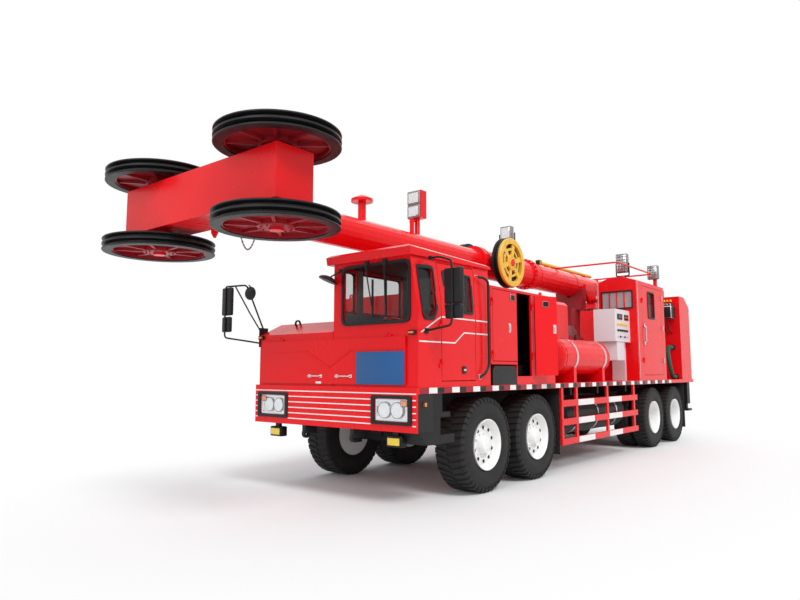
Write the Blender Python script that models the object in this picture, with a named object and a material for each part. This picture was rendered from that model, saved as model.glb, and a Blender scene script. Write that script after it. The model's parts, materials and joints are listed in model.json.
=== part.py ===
"""Truck-mounted workover rig with a tubular telescoping mast, at full size.

Metres, +Z up, ground at Z = 0. X is across the vehicle, +X on the driver's side.
Shapes are laid out along the vehicle by station: the distance behind the front bumper's
face. Each finished object is then shifted forward by MIDDLE, so the vehicle's middle is the
origin and the front looks towards -Y.
"""

import math

import bmesh
import bpy
from mathutils import Matrix, Vector

# ---------------------------------------------------------------- clearances
GAP = 0.0003  # between faces that touch
CLEAR = 0.008  # round a moving panel
RUNNING = 0.0005  # between a rod and its bush

# ---------------------------------------------------------------- overall sizes
HALF_WIDTH = 1.40
DECK_TOP = 1.348
DECK_THICK = 0.073
REAR_END = 10.75
FRAME_HALF = 0.46
FRAME_BOTTOM = 0.90
FRAME_FRONT = 0.23
RAIL_WIDTH = 0.08

# ---------------------------------------------------------------- wheels and axles
WHEEL_RADIUS = 0.60
WHEEL_SIDES = 16
FRONT_AXLES = (1.52, 2.875)
REAR_AXLES = (7.955, 9.334)
FRONT_TYRE_WIDTH = 0.44
FRONT_WHEEL_X = 1.16
REAR_TYRE_WIDTH = 0.315
TWIN_GAP = 0.04
REAR_WHEEL_X = 1.05
RIM_RADIUS = 0.31
KINGPIN_X = 0.95
KINGPIN_RADIUS = 0.075
AXLE_BEAM_HALF = 0.06

# ---------------------------------------------------------------- cab and hood
BODY_HALF = 1.385
NOSE_FACE = 0.05
BUMPER_THICK = 0.06
HOOD_EDGE_TOP = 2.02
HOOD_CREST = 2.19
HOOD_CREST_STATION = 0.42
CAB_RIGHT = 0.05
CAB_REAR = 1.585
CAB_SHOULDER = 2.18
CAB_TOP = 2.862
CAB_TOP_FRONT_X = 1.275
CAB_TOP_REAR_X = 1.36
CAB_WALL = 0.05
ROOF_THICK_FRONT = 0.125
ROOF_THICK_REAR = 0.06
DOOR_FRONT = 0.50
DOOR_REAR = 1.24
DOOR_BOTTOM = 1.41
DOOR_TOP = 2.83
GLASS_THICK = 0.012
PANEL_THICK = 0.022
PANEL_TOP = 1.93
PANEL_BOTTOM = 1.372

# ---------------------------------------------------------------- cabinet behind the cab
CABINET_FRONT = 1.605
CABINET_REAR = 3.45
CABINET_TOP = 2.66
SHEET = 0.03
CABINET_DOOR_TOP = 2.625
CABINET_DOOR_BOTTOM = 1.46
CABINET_DOOR_SPLIT = 2.31
CABINET_HINGE_REAR = 2.73
REAR_LEAF_OPEN_DEG = 155.0
BATTERY_TOP = 1.60
BATTERY_REAR = 2.26
BATTERY_DEPTH = 0.33

# ---------------------------------------------------------------- engine and its cover
COVER_HALF = 0.72
COVER_REAR = 5.40
COVER_TOP = 2.78
ENGINE_FRONT = 3.55
ENGINE_LENGTH = 1.13
ENGINE_TOP = 2.05

# ---------------------------------------------------------------- deck equipment
RECEIVER_X = 1.10
RECEIVER_Z = 1.77
RECEIVER_RADIUS = 0.295
RECEIVER_FRONT = 3.70
RECEIVER_REAR = 5.72
RECEIVER_SADDLES = (4.27, 5.44)
SWITCH_FRONT = 6.38
SWITCH_RIGHT = 0.80
SWITCH_LEFT = 1.22
SWITCH_BOTTOM = 2.10
SWITCH_TOP = 2.72

# ---------------------------------------------------------------- control cabin
CABIN_FRONT = 7.16
CABIN_REAR = 8.82
CABIN_RIGHT = 0.58
CABIN_LEFT = 1.385
CABIN_TOP = 3.34
CABIN_CREST = 3.42
CABIN_WALL = 0.04
CABIN_DOOR_FRONT = 7.42
CABIN_DOOR_REAR = 8.62
CABIN_DOOR_BOTTOM = 1.45
CABIN_DOOR_TOP = 3.26

# ---------------------------------------------------------------- mast
MAST_Z = 3.345
MAST_SIDES = 20
UPPER_RADIUS = 0.212
UPPER_WALL = 0.014
LOWER_RADIUS = 0.242
LOWER_WALL = 0.018
LOWER_FRONT = 3.32
LOWER_REAR = 10.32
UPPER_REAR = 9.70
MAST_FLANGE = 5.10
PIVOT_STATION = 10.30
PIVOT_Z = 2.35
PIVOT_RADIUS = 0.09
LUG_HALF = 0.30

# ---------------------------------------------------------------- crown
CROWN_FRONT = -1.985
CROWN_REAR = -1.527
CROWN_BOTTOM = 3.099
CROWN_TOP = 3.621
CROWN_HALF = 1.34
CROWN_SHEAVE_X = 1.04
CROWN_SHEAVE_STATION = -1.72
CROWN_SHEAVE_RADIUS = 0.62
CROWN_SHEAVE_THICK = 0.14
CROWN_SHEAVE_LIFT = 0.07
SHAFT_RADIUS = 0.07
SHEAVE_SIDES = 16
SHEAVE_GROOVE = 0.045

# ---------------------------------------------------------------- guide sheaves
GUIDE_STATION = 3.80
GUIDE_RADIUS = 0.425
GUIDE_INNER_X = 0.34
GUIDE_WIDTH = 0.16
GUIDE_PIN = 0.06

# ---------------------------------------------------------------- raising cylinders
CYLINDER_X = 0.45
FOOT_STATION = 9.55
FOOT_Z = 1.46
EYE_STATION = 7.60
EYE_Z = 3.05
BARREL_RADIUS = 0.085
ROD_RADIUS = 0.055

# ---------------------------------------------------------------- mast support and drawworks
COLUMN_FRONT = 9.95
COLUMN_REAR = 10.72
COLUMN_INNER = 0.62
COLUMN_TOP = 3.26
REST_STATION = 7.15
REST_RADIUS = 0.18
DRUM_STATION = 6.15
DRUM_Z = 1.98
DRUM_RADIUS = 0.24
DRUM_FLANGE = 0.44
DRUM_HALF = 0.42

# ---------------------------------------------------------------- below the deck
TANK_RADIUS = 0.30
TANK_X = 0.98
TANK_Z = 0.80
TANK_FRONT = 4.05
TANK_REAR = 6.55
GUARD_FRONT = 3.62
GUARD_REAR = 6.93
GUARD_BOTTOM = 0.404
GUARD_THICK = 0.04
JACK_STATION = 10.42
JACK_X = 1.27
JACK_LEG = 0.12
JACK_FOOT_Z = 0.62

# ---------------------------------------------------------------- mirrors
MIRROR_OUT = 1.83

FRONT_END = CROWN_SHEAVE_STATION - CROWN_SHEAVE_RADIUS
MIDDLE = (FRONT_END + REAR_END) / 2
DECK_BOTTOM = DECK_TOP - DECK_THICK


# ================================================================ materials
def paint(name, colour, roughness=0.4, metallic=0.0):
    """A Principled material, made once for each name."""
    found = bpy.data.materials.get(name)
    if found:
        return found
    made = bpy.data.materials.new(name)
    made.use_nodes = True
    shader = made.node_tree.nodes["Principled BSDF"]
    shader.inputs["Base Color"].default_value = (*colour, 1.0)
    shader.inputs["Roughness"].default_value = roughness
    shader.inputs["Metallic"].default_value = metallic
    made.diffuse_color = (*colour, 1.0)
    return made


RED = ("rig_red", (0.78, 0.018, 0.023), 0.32)
DARK_RED = ("shaded_red", (0.42, 0.012, 0.018), 0.45)
BLACK = ("chassis_black", (0.012, 0.012, 0.014), 0.5)
TYRE = ("tyre_rubber", (0.02, 0.02, 0.021), 0.85)
YELLOW = ("sheave_yellow", (0.86, 0.52, 0.03), 0.4)
GLASS = ("cab_glass", (0.10, 0.12, 0.13), 0.06)
STEEL = ("bright_steel", (0.62, 0.62, 0.63), 0.28, 1.0)
GREY = ("cabinet_grey", (0.72, 0.68, 0.73), 0.45)
GREEN = ("hose_green", (0.02, 0.13, 0.09), 0.6)
SEAT = ("seat_cloth", (0.35, 0.03, 0.05), 0.85)
IRON = ("engine_grey", (0.16, 0.17, 0.18), 0.55)


# ================================================================ shapes
def mesh_of(build):
    """A mesh from a function that fills a bmesh, its faces turned outward."""
    shape = bmesh.new()
    build(shape)
    bmesh.ops.recalc_face_normals(shape, faces=shape.faces)
    mesh = bpy.data.meshes.new("shape")
    shape.to_mesh(mesh)
    shape.free()
    return mesh


def box(x, y, z):
    """A box from its (low, high) along each axis."""
    def build(shape):
        corners = [
            shape.verts.new((x[i], y[j], z[k])) for i in (0, 1) for j in (0, 1) for k in (0, 1)
        ]
        for face in ((0, 1, 3, 2), (4, 6, 7, 5), (0, 4, 5, 1), (2, 3, 7, 6), (0, 2, 6, 4), (1, 5, 7, 3)):
            shape.faces.new([corners[i] for i in face])
    return mesh_of(build)


def prism(axis, outline, low, high):
    """An outline of (first, second) coordinates, pushed from low to high along an axis."""
    place = {
        "X": lambda a, b, t: (t, a, b),
        "Y": lambda a, b, t: (a, t, b),
        "Z": lambda a, b, t: (a, b, t),
    }[axis]

    def build(shape):
        ends = [[shape.verts.new(place(a, b, t)) for a, b in outline] for t in (low, high)]
        for end in ends:
            shape.faces.new(end)
        for i in range(len(outline)):
            j = (i + 1) % len(outline)
            shape.faces.new((ends[0][i], ends[0][j], ends[1][j], ends[1][i]))
    return mesh_of(build)


def loft(rings):
    """Closed rings with the same number of points, joined one to the next and capped."""
    def build(shape):
        made = [[shape.verts.new(point) for point in ring] for ring in rings]
        shape.faces.new(made[0])
        shape.faces.new(made[-1])
        for low, high in zip(made, made[1:]):
            for i in range(len(low)):
                j = (i + 1) % len(low)
                shape.faces.new((low[i], low[j], high[j], high[i]))
        bmesh.ops.triangulate(shape, faces=shape.faces)
    return mesh_of(build)


def turned(centre, axis, profile, sides, half_step=False):
    """A profile of (along, radius) turned round an axis through centre.

    Where the profile's ends have no radius they close on the axis; otherwise the profile
    is a loop, such as a ring's section.
    """
    axis = Vector(axis).normalized()
    across = axis.orthogonal().normalized() if abs(axis.z) > 0.9 else Vector((0, 0, 1))
    across = (across - axis * across.dot(axis)).normalized()
    third = axis.cross(across)
    start = math.pi / sides if half_step else 0.0
    centre = Vector(centre)

    def build(shape):
        rows = []
        for along, radius in profile:
            middle = centre + axis * along
            if radius < 1e-6:
                rows.append([shape.verts.new(middle)])
                continue
            rows.append([
                shape.verts.new(middle + across * radius * math.cos(turn) + third * radius * math.sin(turn))
                for turn in (start + 2 * math.pi * i / sides for i in range(sides))
            ])
        pairs = list(zip(rows, rows[1:]))
        if len(rows[0]) > 1:
            pairs.append((rows[-1], rows[0]))
        for low, high in pairs:
            for i in range(sides):
                j = (i + 1) % sides
                corners = [low[i % len(low)], low[j % len(low)], high[j % len(high)], high[i % len(high)]]
                corners = [v for n, v in enumerate(corners) if v not in corners[:n]]
                if len(corners) > 2:
                    shape.faces.new(corners)
    return mesh_of(build)


def bar(a, b, radius, sides=8):
    """A round bar between two points."""
    a, b = Vector(a), Vector(b)
    length = (b - a).length
    return turned(a, b - a, [(0, 0), (0, radius), (length, radius), (length, 0)], sides, True)


def pipe_through(points, radius, sides=8):
    """A round bar bent through points, mitred at each bend."""
    points = [Vector(p) for p in points]
    rings = []
    side = None
    for i, point in enumerate(points):
        back = (point - points[i - 1]).normalized() if i else (points[1] - point).normalized()
        ahead = (points[i + 1] - point).normalized() if i + 1 < len(points) else back
        along = (back + ahead).normalized()
        side = back.orthogonal().normalized() if side is None else (side - back * side.dot(back)).normalized()
        other = back.cross(side)
        bend = (ahead - back)
        bend = bend.normalized() if bend.length > 1e-6 else None
        ring = []
        for n in range(sides):
            turn = 2 * math.pi * (n + 0.5) / sides
            offset = side * radius * math.cos(turn) + other * radius * math.sin(turn)
            if bend is not None:
                offset = offset - back * (offset.dot(along) / along.dot(back))
            ring.append(point + offset)
        rings.append(ring)
    return loft(rings)


def mirrored(mesh):
    """The same shape on the other side of the vehicle."""
    copy = mesh.copy()
    copy.transform(Matrix.Scale(-1, 4, (1, 0, 0)))
    copy.flip_normals()
    return copy


def moved(mesh, matrix):
    copy = mesh.copy()
    copy.transform(matrix)
    return copy


def both(mesh):
    return [mesh, mirrored(mesh)]


def turn_about(point, axis, degrees):
    """A rotation about a line through a point."""
    point = Vector(point)
    return (
        Matrix.Translation(point)
        @ Matrix.Rotation(math.radians(degrees), 4, Vector(axis))
        @ Matrix.Translation(-point)
    )


# ================================================================ objects
def helper(mesh):
    made = bpy.data.objects.new("helper", mesh)
    bpy.context.scene.collection.objects.link(made)
    made.hide_render = True
    made.display_type = "WIRE"
    return made


def combined(add, cut=(), keep=None):
    """One closed mesh: shapes united, cutters taken away, then only what lies in keep."""
    first = helper(add[0])
    steps = [("UNION", shape) for shape in add[1:]] + [("DIFFERENCE", shape) for shape in cut]
    if keep is not None:
        steps.append(("INTERSECT", keep))
    helpers = []
    for operation, shape in steps:
        other = helper(shape)
        helpers.append(other)
        step = first.modifiers.new(operation, "BOOLEAN")
        step.operation = operation
        step.solver = "EXACT"
        step.object = other
    bpy.context.view_layer.update()
    graph = bpy.context.evaluated_depsgraph_get()
    result = bpy.data.meshes.new_from_object(first.evaluated_get(graph))
    for other in [first, *helpers]:
        bpy.data.objects.remove(other)
    return result


def solid(name, material, add, cut=(), keep=None, origin=(0.0, 0.0, 0.0)):
    """A finished sub-part. origin is a point on its joint's axis, in station coordinates."""
    mesh = combined(list(add), list(cut), keep)
    mesh.name = name
    mesh.transform(Matrix.Translation(-Vector(origin)))
    mesh.materials.clear()
    mesh.materials.append(paint(*material))
    mesh.shade_smooth()
    mesh.set_sharp_from_angle(angle=math.radians(35))
    made = bpy.data.objects.new(name, mesh)
    made.location = Vector(origin) - Vector((0, MIDDLE, 0))
    bpy.context.scene.collection.objects.link(made)
    return made


def copy_of(source, name, origin, material=None):
    """A second object with the same mesh, at another place."""
    made = bpy.data.objects.new(name, source.data)
    made.location = Vector(origin) - Vector((0, MIDDLE, 0))
    bpy.context.scene.collection.objects.link(made)
    return made


# ================================================================ hinges of doors
HINGE_RADIUS = 0.012
HINGE_HEIGHT = 0.05
HINGE_STRAP = 0.045
HINGE_FOOT = 0.024


def door_hinge(x, station, z, wall, door_side):
    """One upright hinge: (the body's half, the door's half).

    The pin stands at (x, station). wall is the outer face that both straps lie on, and
    door_side is +1 where the door lies behind the pin, -1 where it lies ahead of it.
    """
    halves = []
    for side, low, high in ((-door_side, z - HINGE_HEIGHT, z), (door_side, z + GAP, z + HINGE_HEIGHT)):
        knuckle = turned((x, station, low), (0, 0, 1), [
            (0, 0), (0, HINGE_RADIUS), (high - low, HINGE_RADIUS), (high - low, 0)
        ], 8)
        end = station + side * HINGE_STRAP
        strap = box((wall + GAP, x), sorted((station, end)), (low, high))
        foot = box((wall - 0.004, x), sorted((station + side * HINGE_FOOT, end)), (low, high))
        halves.append([knuckle, strap, foot])
    return halves


# ================================================================ chassis
def chassis_frame():
    rail = box((FRAME_HALF - RAIL_WIDTH, FRAME_HALF), (FRAME_FRONT, REAR_END - 0.12), (FRAME_BOTTOM, DECK_BOTTOM - GAP))
    inner = FRAME_HALF - RAIL_WIDTH / 2
    members = [0.26, 1.30, 2.20, 3.30, ENGINE_FRONT + ENGINE_LENGTH + 0.06, 5.75, 6.85, 7.60, 8.65, 9.75]
    cross = [box((-inner, inner), (s, s + 0.09), (0.98, 1.20)) for s in members]
    rear_beam = box((-JACK_X, JACK_X), (JACK_STATION - 0.10, JACK_STATION + 0.10), (1.0, DECK_BOTTOM - GAP))
    sleeve = box(
        (JACK_X - 0.10, JACK_X + 0.10), (JACK_STATION - 0.10, JACK_STATION + 0.10), (0.78, DECK_BOTTOM - GAP)
    )
    bore_half = JACK_LEG / 2 + GAP
    bore = box(
        (JACK_X - bore_half, JACK_X + bore_half),
        (JACK_STATION - bore_half, JACK_STATION + bore_half),
        (0.70, DECK_BOTTOM - 0.03),
    )
    brackets = []
    for station in (GUARD_FRONT + 0.5, 5.2, GUARD_REAR - 0.4):
        brackets.append(box((inner, HALF_WIDTH - 0.09), (station, station + 0.07), (1.15, DECK_BOTTOM - GAP)))
    solid(
        "chassis_frame", BLACK,
        both(rail) + cross + [rear_beam] + both(sleeve) + [s for b in brackets for s in both(b)],
        both(bore),
    )


def deck():
    engine_hole = box((-0.40, 0.40), (ENGINE_FRONT - 0.04, ENGINE_FRONT + ENGINE_LENGTH + 0.04), (1.0, 1.5))
    plate = box((-HALF_WIDTH, HALF_WIDTH), (BUMPER_THICK + GAP, REAR_END), (DECK_BOTTOM, DECK_TOP))
    solid("deck", RED, [plate], [engine_hole])


def front_bumper():
    low, high = 0.848, DECK_TOP
    body = box((-HALF_WIDTH, HALF_WIDTH), (0.0, BUMPER_THICK), (low, high))
    lamp = box((0.79, 1.28), (-0.1, 0.03), (0.965, 1.215))
    stay = box((0.30, 0.44), (0.04, FRAME_FRONT - GAP), (0.95, 1.2))
    solid("front_bumper", RED, [body] + both(stay), both(lamp))


def entry_steps():
    """Black step box behind the bumper's left end, a plain one behind its right end, and the beam between them."""
    steps = prism("X", [
        (0.07, DECK_BOTTOM - GAP), (0.07, 0.84), (0.20, 0.70), (0.74, 0.70), (0.74, 0.80),
        (0.46, 0.80), (0.46, 1.00), (0.66, 1.00), (0.66, 1.06), (0.50, 1.06), (0.50, DECK_BOTTOM - GAP),
    ], 1.10, HALF_WIDTH - 0.01)
    plain = box((-HALF_WIDTH + 0.01, -1.10), (0.07, 0.50), (0.86, DECK_BOTTOM - GAP))
    beam = box((-1.15, 1.15), (0.10, 0.20), (0.86, 0.93))
    solid("entry_steps", BLACK, [steps, plain, beam])


# ================================================================ hood and cab
def hood():
    left = CAB_RIGHT - CLEAR
    bottom = DECK_TOP + GAP
    outline = [
        (NOSE_FACE, bottom), (NOSE_FACE, HOOD_EDGE_TOP), (HOOD_CREST_STATION, HOOD_CREST),
        (CAB_REAR, HOOD_CREST), (CAB_REAR, bottom),
    ]
    inside = [
        (NOSE_FACE + SHEET, bottom - 0.1), (NOSE_FACE + SHEET, HOOD_EDGE_TOP - 0.03),
        (HOOD_CREST_STATION + 0.01, HOOD_CREST - SHEET), (CAB_REAR - SHEET, HOOD_CREST - SHEET),
        (CAB_REAR - SHEET, bottom - 0.1),
    ]
    knuckles = []
    for x in (-0.95,):
        knuckles += panel_hinge(x)[0]
    solid(
        "hood", RED,
        [prism("X", outline, -BODY_HALF, left)] + knuckles,
        [prism("X", inside, -BODY_HALF + SHEET, left - SHEET)],
    )


PANEL_PIN = (NOSE_FACE - 0.018, PANEL_TOP + 0.012)


def panel_hinge(x):
    """One hinge of the front panel, with its pin across the vehicle: (body's half, panel's half)."""
    station, z = PANEL_PIN
    halves = []
    for low, high, strap in (
        (x - 0.06, x, ((station, NOSE_FACE + 0.004), (z + 0.001, z + 0.035))),
        (x + GAP, x + 0.06, ((station - 0.004, station + 0.008), (z - 0.04, z - 0.001))),
    ):
        knuckle = turned((low, station, z), (1, 0, 0), [
            (0, 0), (0, HINGE_RADIUS), (high - low, HINGE_RADIUS), (high - low, 0)
        ], 10)
        halves.append([knuckle, box((low, high), *strap)])
    return halves


def front_panel():
    back = NOSE_FACE - 0.006
    slab = box((-1.30, 1.22), (back - PANEL_THICK, back), (PANEL_BOTTOM, PANEL_TOP))
    origin = (0.0, *PANEL_PIN)
    halves = [shape for x in (-0.95, 0.95) for shape in panel_hinge(x)[1]]
    solid("front_panel", RED, [slab] + halves, origin=origin)


def cab_rings(inset):
    """The cab's outer form, or its inside when inset by the wall: floor, shoulder and top rings."""
    low = DECK_TOP + GAP + (0.045 if inset else 0.0)
    top = CAB_TOP + (0.1 if inset else 0.0)
    right, front, rear = CAB_RIGHT + inset, NOSE_FACE + inset, CAB_REAR - inset
    rings = []
    for z, left_front, left_rear in (
        (low, BODY_HALF, BODY_HALF),
        (CAB_SHOULDER, BODY_HALF, BODY_HALF),
        (top, CAB_TOP_FRONT_X, CAB_TOP_REAR_X),
    ):
        rings.append([
            (right, front, z), (left_front - inset, front, z),
            (left_rear - inset, rear, z), (right, rear, z),
        ])
    return rings


def cab_side_cut(grow, top, bottom, front, rear):
    """A cutter through the cab's driver's side, grown by a clearance."""
    return box((1.10, 1.60), (front - grow, rear + grow), (bottom - grow, top + grow))


QUARTER_WINDOW = [(0.14, 2.20), (0.13, 2.74), (0.42, 2.75), (0.42, 2.27), (0.34, 2.14), (0.18, 2.14)]
DOOR_WINDOW = [(0.60, 2.25), (0.60, 2.73), (1.17, 2.71), (1.17, 2.25)]
WINDSHIELD = ((0.21, 1.27), (2.10, 2.80))


def door_pin():
    return BODY_HALF + 0.014, DOOR_FRONT - 0.004


def cab_hinges():
    x, station = door_pin()
    return [door_hinge(x, station, z, BODY_HALF, 1) for z in (1.62, 2.08)]


def cab_shell():
    outer, inner = loft(cab_rings(0.0)), loft(cab_rings(CAB_WALL))
    (x0, x1), (z0, z1) = WINDSHIELD
    cuts = [
        inner,
        box((x0, x1), (-0.2, 0.2), (z0, z1)),
        prism("X", QUARTER_WINDOW, 1.1, 1.6),
        cab_side_cut(0.0, DOOR_TOP, DOOR_BOTTOM, DOOR_FRONT, DOOR_REAR),
        box((-0.2, 0.3), (0.16, 0.42), (2.28, 2.80)),
        box((-0.2, 0.3), (0.54, 1.36), (2.28, 2.80)),
    ]
    hinges = [shape for halves in cab_hinges() for shape in halves[0]]
    solid("cab_shell", RED, [outer], cuts)
    shell = bpy.data.objects["cab_shell"]
    shell.data = with_extras(shell, hinges + panel_hinge(0.95)[0] + dashboard())


def with_extras(made, extras):
    """The object's mesh with more shapes united to it."""
    base = made.data.copy()
    base.transform(Matrix.Translation(made.location + Vector((0, MIDDLE, 0))))
    mesh = combined([base] + extras)
    mesh.transform(Matrix.Translation(-(made.location + Vector((0, MIDDLE, 0)))))
    mesh.name = made.name
    mesh.materials.clear()
    mesh.materials.append(made.data.materials[0])
    mesh.shade_smooth()
    mesh.set_sharp_from_angle(angle=math.radians(35))
    return mesh


def cab_door():
    outer, inner = loft(cab_rings(0.0)), loft(cab_rings(CAB_WALL))
    panel = combined(
        [outer],
        [inner, prism("X", DOOR_WINDOW, 1.1, 1.6)],
        cab_side_cut(-CLEAR, DOOR_TOP, DOOR_BOTTOM, DOOR_FRONT, DOOR_REAR),
    )
    x, station = door_pin()
    hinges = [shape for halves in cab_hinges() for shape in halves[1]]
    solid("cab_door", RED, [panel] + hinges, origin=(x, station, 0.0))


def cab_roof():
    overhang = 0.035
    low = CAB_TOP + GAP
    front, rear = NOSE_FACE - 0.05, CAB_REAR + 0.02
    right = CAB_RIGHT - 0.10
    rings = [
        [(right, front + 0.02, low), (CAB_TOP_FRONT_X + overhang, front + 0.02, low),
         (CAB_TOP_REAR_X + overhang, rear, low), (right, rear, low)],
        [(right, front, low + ROOF_THICK_FRONT - 0.03), (CAB_TOP_FRONT_X + overhang, front, low + 0.095),
         (CAB_TOP_REAR_X + overhang, rear, low + ROOF_THICK_REAR - 0.03),
         (right, rear, low + ROOF_THICK_REAR - 0.03)],
        [(right + 0.05, front + 0.05, low + ROOF_THICK_FRONT),
         (CAB_TOP_FRONT_X - 0.02, front + 0.05, low + ROOF_THICK_FRONT),
         (CAB_TOP_REAR_X - 0.02, rear - 0.05, low + ROOF_THICK_REAR),
         (right + 0.05, rear - 0.05, low + ROOF_THICK_REAR)],
    ]
    solid("cab_roof", RED, [loft(rings)])


def cab_glass():
    (x0, x1), (z0, z1) = WINDSHIELD
    depth = NOSE_FACE + 0.012
    solid("windshield", GLASS, [
        box((x0 + GAP, x1 - GAP), (depth, depth + GLASS_THICK), (z0 + GAP, z1 - GAP))
    ])
    outer = loft(cab_rings(0.018))
    inner = loft(cab_rings(0.018 + GLASS_THICK))
    fit = [(s + 0.0, z) for s, z in shrunk(DOOR_WINDOW, GAP)]
    x, station = door_pin()
    solid("door_window", GLASS, [outer], [inner], prism("X", fit, 1.1, 1.6), origin=(x, station, 0.0))


def shrunk(outline, by):
    """An outline moved inward by a small distance from every side."""
    count = len(outline)
    area = sum(
        outline[i][0] * outline[(i + 1) % count][1] - outline[(i + 1) % count][0] * outline[i][1]
        for i in range(count)
    )
    sign = 1 if area > 0 else -1
    lines = []
    for i in range(count):
        (ax, ay), (bx, by_) = outline[i], outline[(i + 1) % count]
        length = math.hypot(bx - ax, by_ - ay)
        nx, ny = -sign * (by_ - ay) / length, sign * (bx - ax) / length
        lines.append((ax + nx * by, ay + ny * by, bx - ax, by_ - ay))
    points = []
    for i in range(count):
        px, py, dx, dy = lines[i - 1]
        qx, qy, ex, ey = lines[i]
        along = ((qx - px) * ey - (qy - py) * ex) / (dx * ey - dy * ex)
        points.append((px + dx * along, py + dy * along))
    return points


def driver_seat():
    floor = DECK_TOP + GAP + 0.045 + GAP
    base = box((0.52, 0.92), (0.82, 1.20), (floor, 1.60))
    cushion = box((0.47, 0.97), (0.74, 1.28), (1.59, 1.74))
    back = prism("X", [(1.16, 1.70), (1.28, 1.70), (1.42, 2.42), (1.34, 2.44)], 0.49, 0.95)
    head = prism("X", [(1.33, 2.42), (1.42, 2.40), (1.45, 2.60), (1.38, 2.62)], 0.60, 0.84)
    solid("driver_seat", SEAT, [base, cushion, back, head])


def dashboard():
    """The dashboard with its steering wheel, as shapes that join the cab's shell."""
    floor = DECK_TOP + GAP + 0.04
    front = NOSE_FACE + CAB_WALL - 0.01
    console = prism("X", [(front, floor), (front, 2.04), (front + 0.20, 2.06), (front + 0.32, 1.92),
                          (front + 0.20, 1.55), (front + 0.20, floor)], 0.16, 1.28)
    column = bar((0.72, 0.34, 1.80), (0.72, 0.52, 2.05), 0.03)
    wheel_axis = Vector((0, 0.18, 0.25)).normalized()
    wheel = turned((0.72, 0.52, 2.05), wheel_axis, [(-0.012, 0.20), (-0.012, 0.235), (0.012, 0.235), (0.012, 0.20)], 16)
    spoke = turned((0.72, 0.52, 2.05), wheel_axis, [(-0.01, 0), (-0.01, 0.05), (0.01, 0.05), (0.01, 0)], 12)
    arm = moved(box((-0.21, 0.21), (-0.018, 0.018), (-0.007, 0.007)),
                Matrix.Translation((0.72, 0.52, 2.05)) @ Vector((0, 0, 1)).rotation_difference(wheel_axis).to_matrix().to_4x4())
    return [console, column, wheel, spoke, arm]


# ================================================================ cabinet behind the cab
def cabinet_hinges():
    """(front leaf's pin, rear leaf's pin, hinge heights)."""
    pin_x = BODY_HALF + 0.014
    return (pin_x, CABINET_FRONT + 0.035), (pin_x, CABINET_HINGE_REAR), (1.75, 2.45)


def equipment_cabinet():
    front, rear, top = CABINET_FRONT, CABINET_REAR, CABINET_TOP
    low = DECK_TOP + GAP
    outer = box((-BODY_HALF, BODY_HALF), (front, rear), (low, top))
    notch_x = BODY_HALF - BATTERY_DEPTH
    split = BATTERY_REAR + 0.02
    upper = BATTERY_TOP + 0.02 + SHEET
    half = BODY_HALF - SHEET
    cuts = [
        box((-half, half), (front + SHEET, rear - SHEET), (upper, top - SHEET)),
        box((-half, half), (split + SHEET, rear - SHEET), (low - 0.1, upper + 0.01)),
        box((-half, notch_x - SHEET), (front + SHEET, split + SHEET + 0.01), (low - 0.1, upper + 0.01)),
        box((notch_x, BODY_HALF + 0.1), (front - 0.1, split), (low - 0.1, BATTERY_TOP + 0.02)),
        box((half - 0.05, BODY_HALF + 0.05), (front + 0.045, CABINET_DOOR_SPLIT), (upper + 0.01, CABINET_DOOR_TOP)),
        box((half - 0.05, BODY_HALF + 0.05), (CABINET_DOOR_SPLIT - 0.01, CABINET_HINGE_REAR - 0.012),
            (CABINET_DOOR_BOTTOM, CABINET_DOOR_TOP)),
    ]
    (fx, fs), (rx, rs), heights = cabinet_hinges()
    hinges = []
    for z in heights:
        hinges += door_hinge(fx, fs, z, BODY_HALF, 1)[0]
        hinges += door_hinge(rx, rs, z, BODY_HALF, -1)[0]
    made = solid("equipment_cabinet", RED, [outer], cuts)
    made.data = with_extras(made, hinges)


def cabinet_doors():
    (fx, fs), (rx, rs), heights = cabinet_hinges()
    upper = BATTERY_TOP + 0.02 + SHEET + 0.01
    front_leaf = box(
        (BODY_HALF - SHEET + 0.004, BODY_HALF),
        (CABINET_FRONT + 0.045 + CLEAR, CABINET_DOOR_SPLIT - CLEAR / 2),
        (upper + CLEAR, CABINET_DOOR_TOP - CLEAR),
    )
    halves = [shape for z in heights for shape in door_hinge(fx, fs, z, BODY_HALF, 1)[1]]
    solid("cabinet_door_front", RED, [front_leaf] + halves, origin=(fx, fs, 0.0))

    rear_leaf = box(
        (BODY_HALF - SHEET + 0.004, BODY_HALF),
        (CABINET_DOOR_SPLIT + CLEAR / 2, CABINET_HINGE_REAR - 0.012 - CLEAR),
        (CABINET_DOOR_BOTTOM + CLEAR, CABINET_DOOR_TOP - CLEAR),
    )
    halves = [shape for z in heights for shape in door_hinge(rx, rs, z, BODY_HALF, -1)[1]]
    opened = turn_about((rx, rs, 0), (0, 0, 1), REAR_LEAF_OPEN_DEG)
    solid("cabinet_door_rear", RED, [moved(s, opened) for s in [rear_leaf] + halves], origin=(rx, rs, 0.0))


def battery_box():
    low = DECK_TOP + GAP
    x0, x1 = BODY_HALF - BATTERY_DEPTH + 0.01, HALF_WIDTH - 0.01
    s0, s1 = CABINET_FRONT + 0.03, BATTERY_REAR
    outline = [(s0, low), (s0, BATTERY_TOP - 0.05), (s0 + 0.05, BATTERY_TOP), (s1 - 0.05, BATTERY_TOP),
               (s1, BATTERY_TOP - 0.05), (s1, low)]
    solid("battery_box", BLACK, [prism("X", outline, x0, x1)])


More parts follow.
